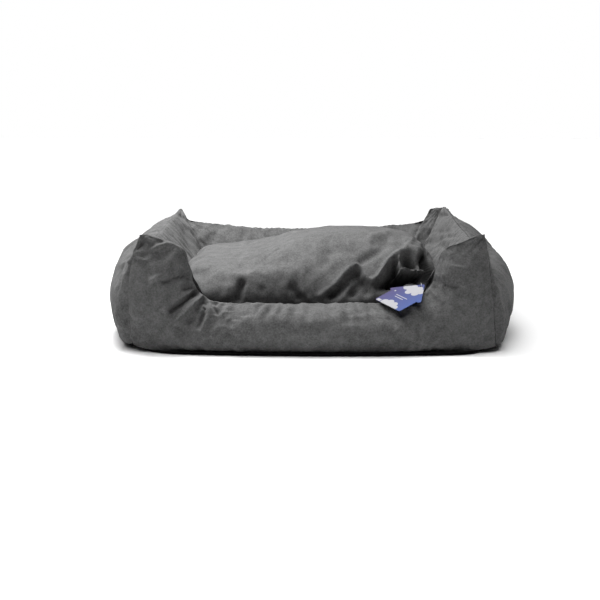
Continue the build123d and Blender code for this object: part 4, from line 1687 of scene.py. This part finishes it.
    def recess(self, cushion: bpy.types.Object) -> None:
        """Sinks the cloth behind the zip."""
        points = read_points(cushion)
        x, y, z = points.T
        beside = (x > self.recess_start) & (np.abs(y) < self.zip_end + self.recess_margin)
        window = beside & (np.abs(z - self.seam) < self.recess_half_height)
        points[window, 0] = np.minimum(x[window], self.zip_face - self.recess_depth)
        write_points(cushion, points)


@dataclass(frozen=True)
class Finishes:
    """Every finish of the bed."""

    wall: bpy.types.Material
    plain_wall: bpy.types.Material
    cushion: bpy.types.Material
    base: bpy.types.Material
    wadding: bpy.types.Material
    tape: bpy.types.Material
    metal: bpy.types.Material
    card: bpy.types.Material
    nylon: bpy.types.Material


@dataclass
class Studio:
    """Pale floor under a soft dome of light, with a soft lamp above the bed's left."""

    floor_size: float = 60.0
    floor_tone: float = 0.95
    lamp_place: Spot = (-0.42, 0.08, 1.02)
    lamp_size: float = 0.6
    lamp_power: float = 18.0
    dome_aim: Spot = (-0.10, 0.15, 1.0)
    dome_level: float = 6.2
    dome_power: float = 9.0
    sky_level: float = 0.12

    def build(self) -> None:
        """Adds the floor and the light."""
        floor = fresh_grid("studio_floor", 4, 4)
        write_points(floor, read_points(floor) * self.floor_size / 2)
        graph = Graph.of_finish("pale_floor")
        tone = graph.noise(graph.place(), 2.0)
        low, high = grey(self.floor_tone * 0.99), grey(self.floor_tone * 1.01)
        floor.data.materials.append(graph.surface({
            "Base Color": graph.tint(tone * 0.5 + 0.5, low, high),
            "Roughness": 0.9,
            "Specular IOR Level": 0.1,
        }))
        self.dome()
        aim = (Vector((0.0, 0.0, 0.1)) - Vector(self.lamp_place)).to_track_quat("-Z", "Y")
        bpy.ops.object.light_add(type="AREA", location=self.lamp_place, rotation=aim.to_euler())
        lamp = bpy.context.active_object
        lamp.name = "soft_lamp"
        lamp.visible_camera = False
        lamp.data.size = self.lamp_size
        lamp.data.energy = self.lamp_power
        bpy.context.scene.view_settings.view_transform = "Standard"

    def dome(self) -> None:
        """White to the eye, and a soft light from above."""
        world = bpy.data.worlds.new("studio_dome")
        bpy.context.scene.world = world
        graph = Graph(world)
        ray = graph.add("ShaderNodeTexCoord", {}, {}, "Generated")
        height = graph.parts(ray)[2].most(0.0)
        toward = graph.add("ShaderNodeVectorMath", {"operation": "DOT_PRODUCT"},
                           {0: ray, 1: Vector(self.dome_aim).normalized()}, "Value")
        light = toward.most(0.0).power(self.dome_power) * self.dome_level + height * self.sky_level
        seen = graph.add("ShaderNodeLightPath", {}, {}, "Is Camera Ray")
        strength = light * (1.0 - seen) + seen
        white = {"Color": grey(1.0), "Strength": strength}
        background = graph.add("ShaderNodeBackground", {}, white)
        graph.add("ShaderNodeOutputWorld", {}, {"Surface": background})


def make_finishes() -> Finishes:
    """Makes every finish."""
    return Finishes(
        wall=Suede("wall_suede", 0.088, seams=True, painted_shades=True).build(),
        plain_wall=Suede("floor_suede", 0.088).build(),
        cushion=Suede("cushion_suede", 0.090, painted_shades=True).build(),
        base=PlainCloth("black_base", (0.006, 0.006, 0.0065, 1.0), rate=900.0, depth=0.0003).build(),
        wadding=PlainCloth("white_wadding", (0.8, 0.8, 0.78, 1.0), rate=500.0, depth=0.001).build(),
        tape=ZipTape().build(),
        metal=Enamel().build(),
        card=PrintedCard(foot=(0.168, -0.345, 0.107), across=(0.553, -0.8206, -0.144),
                         upwards=(0.808, 0.485, 0.335)).build(),
        nylon=Nylon().build(),
    )


def dress_frame(nodes: dict[str, bpy.types.Object], finishes: Finishes) -> None:
    """Gives each shown node of the frame its finish."""
    for name, finish in (("cushion_zip_upper_tape", finishes.tape),
                         ("cushion_zip_lower_tape", finishes.tape),
                         ("cushion_zip_stops", finishes.tape),
                         ("cushion_zip_slider", finishes.metal),
                         ("cushion_zip_puller", finishes.metal),
                         ("tag_card", finishes.card),
                         ("tag_loop", finishes.nylon)):
        piece = nodes[name]
        piece.data.materials.clear()
        piece.data.materials.append(finish)


def main() -> None:
    """Builds the bed's looks around its frame."""
    logging.basicConfig(level=logging.INFO, format="%(name)s: %(message)s")
    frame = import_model()
    view = Viewpoint()
    finishes = make_finishes()
    Studio().build()
    Surround().build(view, finishes)
    Cushion().build(view, finishes.cushion)
    dress_frame(frame["nodes"], finishes)
    view.camera()


if __name__ == "__main__":
    main()
